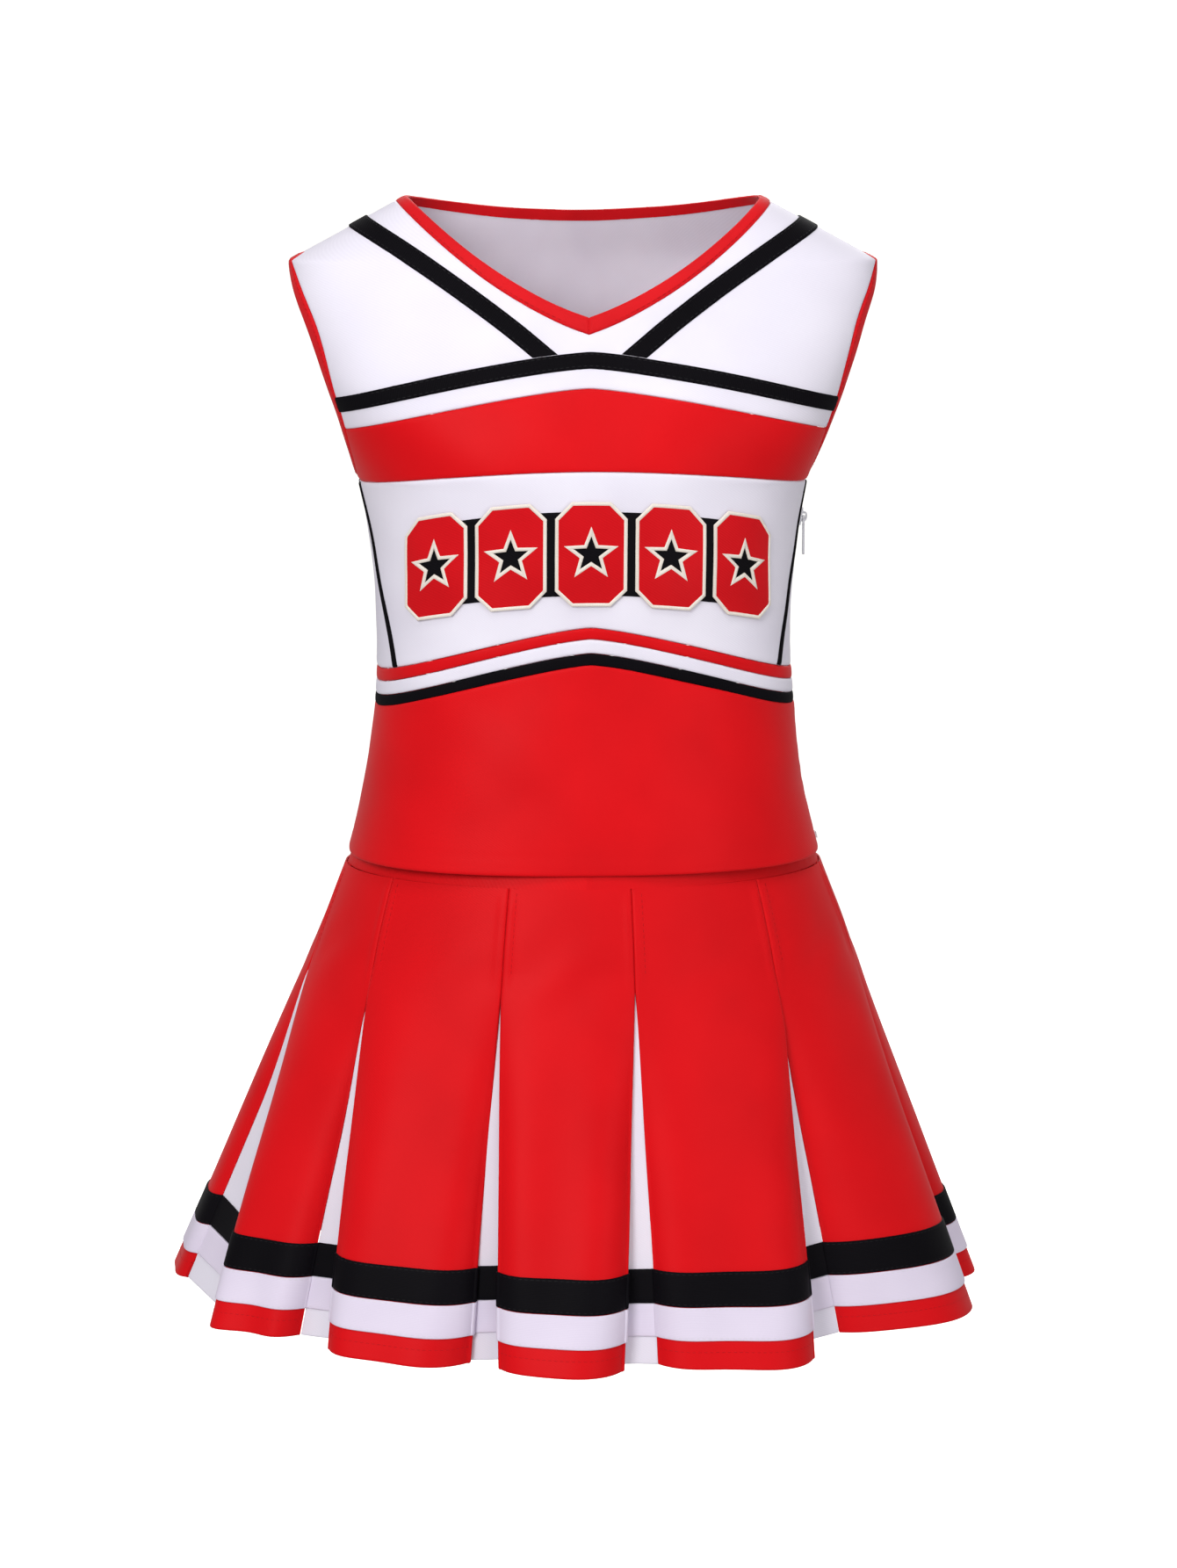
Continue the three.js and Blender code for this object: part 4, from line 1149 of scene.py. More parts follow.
        width = lambda p: self.braid_width / 2 - np.abs(place(p)[:, 0])  # noqa: E731
        above = height_over(chevron(PATTERN.braid_top, 149), 0.25)
        for name, side in (("left", 1), ("right", -1)):
            own = lambda p, side=side: side * p[:, 0]  # noqa: E731
            patch = Patch(side * 45, 48, 268, 368)
            patch.cut(own).within(above, width, FRONT)
            sheet = patch.sheet(self.braid_high, self.braid_low, 0.9, CLOTH_HALF,
                                flat=lambda p: place(p)[:, ::-1])
            piece = dress(sheet.build(f"shoulder_braid_{name}_tape", BLACK_BRAID), "top", "black_braid",
                          f"shoulder_braid_{name}")
            rows = []
            for aside in (self.braid_stitch - self.braid_width / 2, self.braid_width / 2 - self.braid_stitch):
                points = self.shoulder_line(np.linspace(0.02, 0.99, 120), aside)
                points = points[(points[:, 1] > chevron(PATTERN.braid_top, 149)(points[:, 0]) + 1.5)
                                & (points[:, 0] < BODY.half_width(points[:, 1]) - 1.5)]
                angles = BODY.at_x(side * points[:, 0], points[:, 1])
                rows.append(Stitches().along(*line_on_body(angles, points[:, 1], self.braid_high)))
            thread = dress(rows[0].joined(rows[1]).build(f"shoulder_braid_stitching_{name}", BLACK_THREAD),
                           "top", "black_braid")
            self.keep("front_yoke", piece)
            self.keep("front_yoke", thread)

    def build_piping(self) -> None:
        """The thin black piping round each side panel."""
        over = lambda p: 203.0 - p[:, 2]  # noqa: E731
        rib = lambda p: self.piping / 2 - np.minimum(np.abs(PATTERN.outside_side_panel(p)), 50)  # noqa: E731
        for name, middle in (("left", 90), ("right", -90)):
            patch = Patch(middle, 46, 86, 206).within(rib, *PATTERN.side_ends(), over)
            sheet = patch.sheet(self.braid_high, self.braid_low - 0.1, 1.5, CLOTH_HALF - 0.1)
            piece = dress(sheet.build(f"side_piping_{name}_cord", BLACK_BRAID), "top", "black_braid",
                          f"side_piping_{name}")
            self.keep(f"side_panel_{name}", piece)

    def build(self) -> None:
        """Builds every trim of the top."""
        self.build_neck()
        self.build_armholes()
        self.build_chest_braids()
        self.build_shoulder_braids()
        self.build_piping()


# ---------------------------------------------------------------- the emblem


@dataclass
class Emblem:
    """Five chamfered patches with star cut-outs on a black strip, edged in cream satin stitch."""

    blocks: int = 5
    width: float = 40
    height: float = 60
    pitch: float = 47
    chamfer: float = 9
    centre: float = 167
    drop: float = 9
    star: float = 14
    backing: tuple[float, float] = (110, 25)
    edging: float = 2.2

    def __post_init__(self) -> None:
        """Measures the body's girth at the emblem's height, to wrap lengths round it."""
        angles = np.radians(np.linspace(0, 80, 400))
        ring = BODY.point(angles, np.full(400, self.centre))
        self.girth = np.concatenate([[0], np.cumsum(np.linalg.norm(np.diff(ring, axis=0), axis=1))])
        self.girth_x = ring[:, 0]

    def place(self, p: np.ndarray) -> np.ndarray:
        """Points' places on the emblem's flat layout: along from the centre, and up."""
        s = np.sign(p[:, 0]) * np.interp(np.abs(p[:, 0]), self.girth_x, self.girth)
        return np.stack([s, p[:, 2] - self.centre + self.drop * (s / (2 * self.pitch)) ** 2], -1)

    def angles(self, flat: np.ndarray) -> tuple[np.ndarray, np.ndarray]:
        """Angle and height on the body of places on the flat layout."""
        x = np.sign(flat[:, 0]) * np.interp(np.abs(flat[:, 0]), self.girth, self.girth_x)
        z = self.centre + flat[:, 1] - self.drop * (flat[:, 0] / (2 * self.pitch)) ** 2
        return BODY.at_x(x, z), z

    def block_outline(self) -> np.ndarray:
        """Corners of a patch, anticlockwise from the right side's lower end."""
        w, h, c = self.width / 2, self.height / 2, self.chamfer
        return np.array([(w, c - h), (w, h - c), (w - c, h), (c - w, h), (-w, h - c), (-w, c - h),
                         (c - w, -h), (w - c, -h)], float)

    def star_outline(self) -> np.ndarray:
        """Corners of the star cut-out, anticlockwise from its upper point."""
        turn = np.arange(10) / 10 * math.tau + math.pi / 2
        radius = np.where(np.arange(10) % 2, self.star * 0.42, self.star)
        return np.stack([radius * np.cos(turn), radius * np.sin(turn)], -1)

    @staticmethod
    def inside(outline: np.ndarray, flat: np.ndarray) -> np.ndarray:
        """Signed distance to an outline, positive inside it.

        Args:
            outline: its corners, anticlockwise.
            flat: the places to measure.

        Returns:
            One distance for each place.
        """
        nearest = np.full(len(flat), 1e9)
        winding = np.zeros(len(flat), bool)
        for a, b in zip(outline, np.roll(outline, -1, axis=0)):
            side, off = b - a, flat - a
            share = np.clip(off @ side / (side @ side), 0, 1)
            nearest = np.minimum(nearest, np.linalg.norm(off - share[:, None] * side, axis=1))
            crosses = (a[1] > flat[:, 1]) != (b[1] > flat[:, 1])
            rise = side[1] if abs(side[1]) > 1e-9 else 1e-9
            winding ^= crosses & (flat[:, 0] < side[0] * (flat[:, 1] - a[1]) / rise + a[0])
        return np.where(winding, nearest, -nearest)

    def satin_stitch(self, outline: np.ndarray, centre: float, offset: float) -> Sheet:
        """A raised strip of close stitches along an outline.

        Args:
            outline: the corners that the strip is centred on.
            centre: how far along the emblem the outline's middle lies.
            offset: how far off the body its edges lie.

        Returns:
            A closed ring of cloth-like thread.
        """
        before, after = outline - np.roll(outline, 1, axis=0), np.roll(outline, -1, axis=0) - outline
        first, second = ([unit(v) @ np.array([[0, -1], [1, 0]]) for v in (before, after)])
        bisector = (first + second) / (1 + (first * second).sum(1))[:, None]
        layers, lifts = [], []
        for share in (-1, -0.6, 0, 0.6, 1):
            corners = outline + bisector * (self.edging / 2 * share)
            steps = [max(2, int(np.linalg.norm(v) / 1.5)) for v in after]
            ring = np.vstack([a + (b - a) * np.linspace(0, 1, n, endpoint=False)[:, None]
                              for a, b, n in zip(corners, np.roll(corners, -1, axis=0), steps)])
            layers.append(ring)
            lifts.append(np.full(len(ring), offset + 0.55 * math.sqrt(1 - min(share * share, 0.98))))
        places = np.stack(layers)
        places[..., 0] += centre
        rows, columns = places.shape[:2]
        angles, z = self.angles(places.reshape(-1, 2))
        relief = BODY.relief(angles, z)
        run = np.cumsum(np.linalg.norm(np.diff(layers[2], axis=0, prepend=layers[2][-1:]), axis=1))
        flat = np.stack([np.tile(run, rows), np.repeat(np.linspace(-1, 1, rows), columns)], -1)
        faces = [face[::-1] for face in grid_faces(rows, columns, closed=True)]
        points, normals = BODY.point(angles, z), BODY.normal(angles, z)
        outer = np.concatenate(lifts) + relief
        sheet = thick(points, normals, faces, outer, np.full(len(points), offset - 0.5) + relief, flat)
        area = np.cross(points[faces[0][1]] - points[faces[0][0]], points[faces[0][2]] - points[faces[0][0]])
        if area @ normals[faces[0][0]] < 0:
            sheet.faces = [face[::-1] for face in sheet.faces]
        return sheet

    def build(self) -> None:
        """Builds the backing strip, the five patches and their satin-stitch edges."""
        reach, tall = self.backing
        strip = lambda p: np.minimum(reach - np.abs(self.place(p)[:, 0]),  # noqa: E731
                                     tall - np.abs(self.place(p)[:, 1]))
        patch = Patch(0, 80, 128, 196).within(strip)
        sheet = patch.sheet(1.6, 0.75, 0.9, CLOTH_HALF, flat=self.place)
        backing = dress(sheet.build("emblem_backing_patch", BLACK_PATCH), "top", "black_applique",
                        "emblem_backing")
        block, star = self.block_outline(), self.star_outline()
        for number in range(1, self.blocks + 1):
            middle = (number - (self.blocks + 1) / 2) * self.pitch
            at = lambda p, middle=middle: self.place(p) - [middle, 0]  # noqa: E731
            shape = lambda p, at=at: self.inside(block, at(p))  # noqa: E731
            hole = lambda p, at=at: -self.inside(star, at(p))  # noqa: E731
            spread = math.degrees(abs(float(self.angles(np.array([[middle, 0.0]]))[0][0])))
            patch = Patch(round(math.copysign(spread, middle) / Patch.TURN) * Patch.TURN, 24, 124, 202)
            patch.within(shape, hole)
            sheet = patch.sheet(2.5, 1.85, 0.9, 1.75, flat=at)
            piece = dress(sheet.build(f"emblem_patch_{number}", RED_PATCH), "top", "red_applique",
                          f"emblem_block_{number}")
            edge = self.satin_stitch(block, middle, 2.3).joined(self.satin_stitch(star, middle, 2.3))
            thread = dress(edge.build(f"emblem_edging_{number}", CREAM_STITCH), "top", "red_applique")


# ---------------------------------------------------------------- the zip


@dataclass
class SideZip:
    """The zip in the wearer's left side: two tapes with their coils, two stops, slider and pull."""

    low: float = -20
    top: float = 192
    tape_half: float = 14
    tape_out: float = -1.1
    tape_thick: float = 0.8
    coil_reach: float = 2.3
    coil_pitch: float = 1.4
    bevel: float = 0.18

    def build_tape(self, name: str, side: int) -> None:
        """One tape and its half of the coil.

        Args:
            name: front or back.
            side: -1 for the front tape and 1 for the back one.
        """
        inner = lambda p: side * p[:, 1] - 0.25  # noqa: E731
        outer = lambda p: self.tape_half - side * p[:, 1]  # noqa: E731
        ends = [height_over(level(self.low)), below(height_over(level(self.top + 8)))]
        patch = Patch(90, 12, self.low - 3, self.top + 11).within(inner, outer, *ends)
        tape = patch.sheet(self.tape_out, self.tape_out - 0.3, 0.8, self.tape_out - self.tape_thick)
        z = np.arange(self.low + 1, self.top - 2, self.coil_pitch) + (side + 1) / 4 * self.coil_pitch
        y = side * np.array([0.3, self.coil_reach])
        turns = []
        for middle in z:
            heights = np.array([middle, middle])
            line, normals = line_on_body(BODY.at_y(y, heights), heights, -0.15)
            turns.append(Stitches(length=1.7, gap=0.0, radius=0.5).along(line, normals))
        coil = turns[0].joined(*turns[1:])
        piece = dress(tape.build(f"zip_tape_{name}_knit", ZIP_KNIT), "top", "zip_tape", f"zip_tape_{name}")
        teeth = dress(coil.build(f"zip_coil_{name}", NYLON_COIL), "top", "zip_tape")

    def build(self) -> None:
        """Builds both tapes, and enamels the CAD slider, pull and stops."""
        self.build_tape("front", -1)
        self.build_tape("back", 1)
        for node in ("zip_top_stop", "zip_bottom_stop", "zip_slider", "zip_pull"):
            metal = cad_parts[node]
            metal.data.materials.clear()
            metal.data.materials.append(ZIP_ENAMEL.material())
            rounded = metal.modifiers.new("worn_edges", "BEVEL")
            rounded.width = self.bevel * MM
            rounded.segments = 2
            rounded.limit_method = "ANGLE"
            LOG.info("%s is enamelled", node)


# ---------------------------------------------------------------- the skirt's waistband


@dataclass
class Waistband:
    """A folded red casing with an elastic inside, gathered in small flutes."""

    low: float = -31
    half_width: float = 134.5
    half_depth: float = 101.5
    spread: tuple[float, float] = (0.32, 0.2)
    channel: float = 4.5
    wall: float = 1.0
    elastic: float = 1.5
    columns: int = 288
    flutes: int = 72
    flute_depth: float = 0.3
    folded: float = 32  # height of the casing, which is cut twice as wide
    fullness: float = 1.1  # cut size by finished size

    def ring(self, profile: list[tuple[float, float]], fluted: float) -> np.ndarray:
        """Rings round the waist.

        Args:
            profile: (distance outwards, height) of each ring, from the outside over the top.
            fluted: how deep the gathers are.

        Returns:
            A grid of points, with one row for each ring.
        """
        t = np.arange(self.columns) / self.columns * math.tau
        rows = []
        for outwards, z in profile:
            a, b = self.half_width - self.spread[0] * z, self.half_depth - self.spread[1] * z
            normal = unit(np.stack([np.sin(t) / a, -np.cos(t) / b], -1))
            depth = -fluted * (0.5 + 0.5 * np.cos(self.flutes * t + 0.7 * np.sin(9 * t) + z * 0.05))
            reach = (outwards + depth * math.exp(-((z + 15) / 13) ** 4))[:, None]
            rows.append(np.concatenate([np.stack([a * np.sin(t), -b * np.cos(t)], -1) + normal * reach,
                                        np.full((self.columns, 1), z)], 1))
        return np.stack(rows)

    def build(self) -> None:
        """Builds the casing and the elastic."""
        depth = np.concatenate([np.linspace(self.low, -4, 14), [-2.6, -1.4]])
        outside = [(0.0, float(z)) for z in depth]
        half = self.channel / 2
        fold = [(-half + half * math.cos(a), -1.0 + 1.0 * math.sin(a))
                for a in np.radians(np.linspace(20, 160, 9))]
        inside = [(-self.channel, float(z)) for z in depth[::-1][:-1]]
        grid = self.ring(outside + fold + inside, self.flute_depth)[:, ::-1]
        run = np.linspace(0, 2 * abs(self.low), len(grid))
        sheet = grid_sheet(grid, -self.wall, 0.0, run, closed=True)
        piece = dress(sheet.build("waistband_casing", RED_TWILL), "skirt", "red_twill", "waistband")
        middle = [(-self.channel / 2, float(z)) for z in np.linspace(-2.0, self.low + 4, 16)]
        band = self.ring(middle, 0.1)
        sheet = grid_sheet(band, self.elastic / 2, -self.elastic / 2, np.linspace(0, 26, 16), closed=True)
        web = dress(sheet.build("waist_elastic_web", ELASTIC_WEB), "skirt", "elastic", "waist_elastic")


# ---------------------------------------------------------------- the pleated skirt


class Tuck(Enum):
    """Which panel's edge an insert lies level with. It passes behind the other one."""

    BEFORE = "level with the panel before it"
    AFTER = "level with the panel after it"
    BOTH = "behind both panels"


@dataclass(frozen=True)
class Seam:
    """A pleat seam: its angles and half its opening at the hem, and how its two panel edges hang there.

    before and after say how far out each edge stands, low_before and low_after how much lower it hangs.
    """

    waist: float
    hem: float
    half: float
    before: float
    after: float
    low_before: float
    low_after: float
    tuck: Tuck
    shows: float = 51.5  # distance down where the insert starts to show


@dataclass
class PleatedSkirt:
    """Eleven red panels with white inserts between them, and two ribbons round the hem."""

    length: float = 283
    release: float = 51.5
    waist_low: float = -30.6
    waist_size: tuple[float, float] = (146, 108)
    flare: tuple[float, float] = (0.388, 0.23)
    crown: float = 9.5
    crown_power: float = 3.4  # above 2, a face is flatter in the middle and bends more at its edges
    bend: float = 5.2  # how far a face turns in at its first edge
    last_bend: float = 1.3  # how much further it turns in at its last edge
    edge_columns: int = 9  # a panel grid's columns that lie round or under each edge
    behind: float = 11
    stitched_behind: float = 2.2
    fold: float = 1.25  # radius of a rolled pleat edge
    lap: float = 5
    cloth: float = 0.8
    ribbons: tuple[float, float, float] = (226.5, 247, 266.5)
    seams: tuple[Seam, ...] = (
        Seam(9.2, 6.1, 10.4, 2, -6, 1, 0, Tuck.AFTER, 60),
        Seam(43.3, 35.3, 14.9, 4, -18, 6, 0, Tuck.AFTER, 90),
        Seam(79, 83, 20, 0, -17, 11, 9, Tuck.AFTER),
        Seam(111.7, 115, 18, 2, -8, 4, 4, Tuck.AFTER),
        Seam(144.4, 146, 14, 2, -8, 0, 0, Tuck.AFTER),
        Seam(177.1, 177, 14, -8, 2, 0, 0, Tuck.BEFORE),
        Seam(209.8, 208, 14, -8, 2, 0, 0, Tuck.BEFORE),
        Seam(242.5, 239, 18, -8, 2, 0, 0, Tuck.BEFORE),
        Seam(274, 285, 34, 0, 4, -4, 6, Tuck.BEFORE, 58),
        Seam(306.5, 316.6, 15, -12, 2, 2, 2, Tuck.BEFORE, 70),
        Seam(340.4, 344.5, 9.5, -12, 3, 2, 0, Tuck.BOTH, 66),
    )

    def point(self, t: np.ndarray, down: np.ndarray, out: np.ndarray, along: np.ndarray,
              low: np.ndarray) -> np.ndarray:
        """Points of the flared skirt. Where it flares more, the same length of cloth drops less.

        Args:
            t: angle round the skirt.
            down: distance down the cloth.
            out: distance outwards.
            along: distance round the level ring.
            low: how much lower the cloth hangs at the hem.

        Returns:
            One point for each set of values.
        """
        flare = np.hypot(self.flare[0] * np.sin(t), self.flare[1] * np.cos(t))
        drop = down / np.hypot(1, flare)
        a, b = self.waist_size[0] + self.flare[0] * drop, self.waist_size[1] + self.flare[1] * drop
        nx, ny = np.sin(t) / a, -np.cos(t) / b
        size = np.hypot(nx, ny)
        nx, ny = nx / size, ny / size
        return np.stack(np.broadcast_arrays(a * np.sin(t) + nx * out - ny * along,
                                            -b * np.cos(t) + ny * out + nx * along,
                                            self.waist_low - drop - low * self.opening(down)), -1)

    def opening(self, down: np.ndarray) -> np.ndarray:
        """How far the pleats have opened: 0 down to the release, 1 at the hem."""
        return np.clip((down - self.release) / (self.length - self.release), 0, 1)

    def seam(self, i: int) -> Seam:
        """The seam with a number that may run past the last one."""
        return self.seams[i % len(self.seams)]

    def angle(self, i: int, down: np.ndarray) -> np.ndarray:
        """A seam's angle at a distance down, in radians."""
        s = self.seam(i)
        turns = 360 * (i // len(self.seams))
        return np.radians(s.waist + (s.hem - s.waist) * down / self.length + turns)

    def half_gap(self, i: int, down: np.ndarray) -> np.ndarray:
        """Half the width of the opening over an insert."""
        s = self.seam(i)
        opened = np.clip((down - s.shows) / (self.length - s.shows), 0, 1)
        wander = 0.7 * np.sin(down / 31 + 2.1 * i) * self.opening(down) * (1 - self.opening(down)) * 2
        return 0.02 + (s.half - 0.02) * opened + wander * (opened > 0) * opened

    def depth(self, i: int, down: np.ndarray) -> np.ndarray:
        """How far an insert's deepest part lies off the skirt's line."""
        s = self.seam(i)
        at_hem = self.behind - min(s.before, s.after)
        return -(self.stitched_behind + (at_hem - self.stitched_behind) * self.opening(down))

    def roll(self, i: int, on_after: bool, down: np.ndarray) -> np.ndarray:
        """Radius of a panel's edge at a seam: a soft roll where the insert is tucked, else nearly none."""
        s = self.seam(i)
        level_side = (s.tuck is Tuck.AFTER and on_after) or (s.tuck is Tuck.BEFORE and not on_after)
        pressed, open_ = 1.3, 0.5 if level_side else self.fold + 0.4
        return pressed + (open_ - pressed) * smoothstep(self.opening(down), 0.0, 0.12)

    def turned_in(self, down: np.ndarray) -> np.ndarray:
        """How far a face turns in at its first edge, from nothing at the release."""
        return self.bend * smoothstep(self.opening(down), 0.0, 0.5)

    def face_out(self, i: int, s: np.ndarray, down: np.ndarray) -> np.ndarray:
        """How far a panel's face stands out.

        Args:
            i: the panel's number from 0.
            s: place across it, 0 to 1.
            down: distance down the cloth.

        Returns:
            Distances outwards.
        """
        opened = self.opening(down)
        edges = self.seam(i).after + (self.seam(i + 1).before - self.seam(i).after) * s
        crown = self.crown * (1 - np.abs(2 * s - 1) ** self.crown_power)
        window = 4 * s * (1 - s)
        hang = 3.2 * np.sin(math.pi * s * 2 + 1.3 * i + down / 95)
        hang = hang + 1.1 * np.sin(7.5 * s + 2.3 * i - down / 60)
        bent = self.turned_in(down) * (np.exp(-s / 0.11) + self.last_bend * np.exp(-(1 - s) / 0.11))
        pulled = np.exp(-(((down - self.release - 3) / 11) ** 2))
        dimples = 0.9 * pulled * (np.exp(-((s / 0.12) ** 2)) + np.exp(-(((1 - s) / 0.12) ** 2)))
        fans = 0.5 * np.sin(down / 8 + 9 * s + i) * np.exp(-(((down - self.release) / 22) ** 2)) * window
        pressed = smoothstep(down, 2.0, 9.0) * (1 - smoothstep(down, self.release, self.release + 20))
        ridges = 0.75 * np.exp(-(((np.minimum(s, 1 - s) - 0.035) / 0.03) ** 2)) * pressed
        return (edges + crown + hang * window) * opened - bent - dimples + fans + ridges

    def panel(self, i: int, down: np.ndarray) -> np.ndarray:
        """The outer face of a panel with its rolled edges.

        Args:
            i: the panel's number from 0.
            down: distances down the cloth.

        Returns:
            A grid of points, one row for each distance.
        """
        d = down[:, None]
        left, right = self.half_gap(i, d), self.half_gap(i + 1, d)
        t0, t1 = self.angle(i, d), self.angle(i + 1, d)
        low0, low1 = self.seam(i).low_after, self.seam(i + 1).low_before
        ends = [self.point(t0, d, 0, left, low0), self.point(t1, d, 0, -right, low1)]
        width = np.linalg.norm(ends[1] - ends[0], axis=2)
        r0, r1 = self.roll(i, True, d), self.roll(i + 1, False, d)
        shares = 0.5 - 0.5 * np.cos(math.pi * (0.12 + 0.76 * np.linspace(0, 1, 34)))
        shares = (shares - shares[0]) / (shares[-1] - shares[0])
        s = r0 / width + (1 - (r0 + r1) / width) * shares
        face = self.point(t0 + (t1 - t0) * s, d, self.face_out(i, s, d), left * (1 - s) - right * s,
                          low0 + (low1 - low0) * s)
        turns = np.radians(np.array([115, 140, 165, 190, 220, 250, 275]))
        under = np.array([1.5, 4.0, 7.0])
        sides = []
        for t, half, r, s_end, sign, low in ((t0, left, r0, r0 / width, 1, low0),
                                             (t1, right, r1, 1 - r1 / width, -1, low1)):
            middle = self.face_out(i, s_end, d) - r
            arc = self.point(t, d, middle + r * np.sin(turns), sign * (half + r + r * np.cos(turns)), low)
            reach = under * np.clip(r / self.fold, 0.2, 1)
            tail = self.point(t, d, middle - r + 0 * reach, sign * (half + r + reach), low)
            sides.append(np.concatenate([arc, tail], axis=1))
        return np.concatenate([sides[0][:, ::-1], face, sides[1]], axis=1)

    def insert(self, i: int, down: np.ndarray) -> np.ndarray:
        """The outer face of an insert, from the panel before it to the panel after it.

        Args:
            i: the insert's number from 0.
            down: distances down the cloth.

        Returns:
            A grid of points, one row for each distance.
        """
        d, s = down[:, None], self.seam(i)
        half, deep, opened = self.half_gap(i, d), self.depth(i, d), self.opening(d)
        t = self.angle(i, d)
        span = np.linspace(-1, 1, 17)
        lap_before = 0 if s.tuck is Tuck.BEFORE else self.lap
        lap_after = 0 if s.tuck is Tuck.AFTER else self.lap
        along = np.where(span < 0, span * (half + lap_before), span * (half + lap_after))
        level_side = -1 if s.tuck is Tuck.BEFORE else 1
        if s.tuck is Tuck.BOTH:
            out = deep + 1.5 * opened * (1 - span**2)
        else:
            hidden = 1.8 * (1 - smoothstep(d, s.shows - 3, s.shows + 22))
            neighbour, end = (i, 0.0) if level_side > 0 else ((i - 1) % len(self.seams), 1.0)
            edge = self.face_out(neighbour, np.full((1, 1), end), d) - 0.35 - hidden
            away = (1 - span * level_side) / 2
            out = edge + (deep - edge) * (0.55 * away + 0.45 * smoothstep(away, 0, 1))
            out = out + 1.2 * np.sin(math.pi * away) * opened * np.sin(d / 70 + i)
        low = s.low_before + (s.low_after - s.low_before) * (span + 1) / 2
        grid = [self.point(t, d, out, along, low)]
        for sign, lap, stands, on_after, low in ((-1, lap_before, s.before, False, s.low_before),
                                                 (1, lap_after, s.after, True, s.low_after)):
            if not lap:
                continue
            roof = (stands * opened - self.turned_in(d) * (1 if on_after else self.last_bend)
                    - 2 * self.roll(i, on_after, d) - 1.2)
            rise = np.maximum(roof - deep, 0.05)
            turn = np.radians(np.array([-60, -30, 0, 30, 60, 90]))
            bulge = np.minimum(rise / 2, 3.0)
            side = self.point(t, d, deep + rise / 2 + rise / 2 * np.sin(turn),
                              sign * (half + lap + bulge * np.cos(turn)), low)
            tail = self.point(t, d, deep + rise + np.zeros((1, 2)), sign * (half + lap + [-1.5, -3.0]), low)
            turned = np.concatenate([side, tail], axis=1)
            grid = [turned[:, ::-1], *grid] if sign < 0 else [*grid, turned]
        return np.concatenate(grid, axis=1)

    def rows(self) -> np.ndarray:
        """Distances down the cloth of a panel's rows, closer at the release and the hem."""
        plain = np.arange(5, self.length - 4, 5.0)
        extra = [0.3, 1.5, 48, 50.7, 52.6, 57.5, self.length - 3.5, self.length - 2, self.length - 1,
                 self.length - 0.3, self.length]
        return np.array(sorted({*plain.tolist(), *extra}))

    def cloth_sheet(self, grid: np.ndarray, down: np.ndarray) -> Sheet:
        """Cloth with a rounded hem edge and the hem's turned-up layer inside.

        Args:
            grid: the outer face.
            down: its rows' distances down.

        Returns:
            A closed sheet.
        """
        hem = dome((self.length - down) / 1.2)
        outer = (-0.45 * (1 - hem))[:, None] + np.zeros(grid.shape[:2])
        turned = smoothstep(down, self.length - 13.5, self.length - 12)
        inner = (-self.cloth - 0.5 * turned * hem)[:, None] + np.zeros(grid.shape[:2])
        return grid_sheet(grid, outer, np.minimum(inner, outer - 0.4), down)

    def ribbon(self, grid: np.ndarray, down: np.ndarray) -> Sheet:
        """A length of ribbon over a face, thin at its two edges."""
        edge = dome(np.minimum(down - down[0], down[-1] - down) / 0.7)
        outer = (0.5 + 0.5 * edge)[:, None] + np.zeros(grid.shape[:2])
        return grid_sheet(grid, outer, 0.3, down)

    def build_cloth(self) -> None:
        """Builds the panels and the inserts."""
        down = self.rows()
        for i in range(len(self.seams)):
            number = f"{i + 1:02d}"
            for name, grid, finish, slot in (
                ("panel", self.panel(i, down), RED_TWILL, "red_twill"),
                ("insert", self.insert(i, down), WHITE_TWILL, "white_twill"),
            ):
                start = 0 if name == "panel" else int(np.searchsorted(down, self.release - 8))
                sheet = self.cloth_sheet(grid[start:], down[start:])
                piece = dress(sheet.build(f"skirt_{name}_{number}", finish), "skirt", slot,
                              f"pleat_{name}_{number}")

    def build_ribbons(self) -> None:
        """Builds the black and the white ribbon, which run over panels and inserts alike."""
        top, middle, low = self.ribbons
        for name, start, end, finish, thread, slot in (
            ("black", top, middle - HALF_GAP, BLACK_RIBBON, BLACK_THREAD, "black_braid"),
            ("white", middle + HALF_GAP, low, WHITE_RIBBON, WHITE_THREAD, "white_ribbon"),
        ):
            down = np.array([start, start + 0.25, start + 0.7, *np.linspace(start + 3, end - 3, 5),
                             end - 0.7, end - 0.25, end])
            parts, stitches, edge = [], [], self.edge_columns
            for i in range(len(self.seams)):
                panel, insert = self.panel(i, down), self.insert(i, down)
                parts += [self.ribbon(panel, down), self.ribbon(insert, down)]
                for row in (start + 1.4, end - 1.4):
                    rows = np.array([row - 1, row, row + 1])
                    face = self.panel(i, rows)[:, edge:-edge]
                    normals = grid_normals(face)
                    stitches.append(Stitches(radius=0.18).along(face[1] + normals[1] * 0.95, normals[1]))
            sheet = parts[0].joined(*parts[1:])
            piece = dress(sheet.build(f"hem_ribbon_{name}", finish), "skirt", slot, f"trim_{name}")
            seam = dress(stitches[0].joined(*stitches[1:]).build(f"ribbon_stitching_{name}", thread),
                         "skirt", slot)

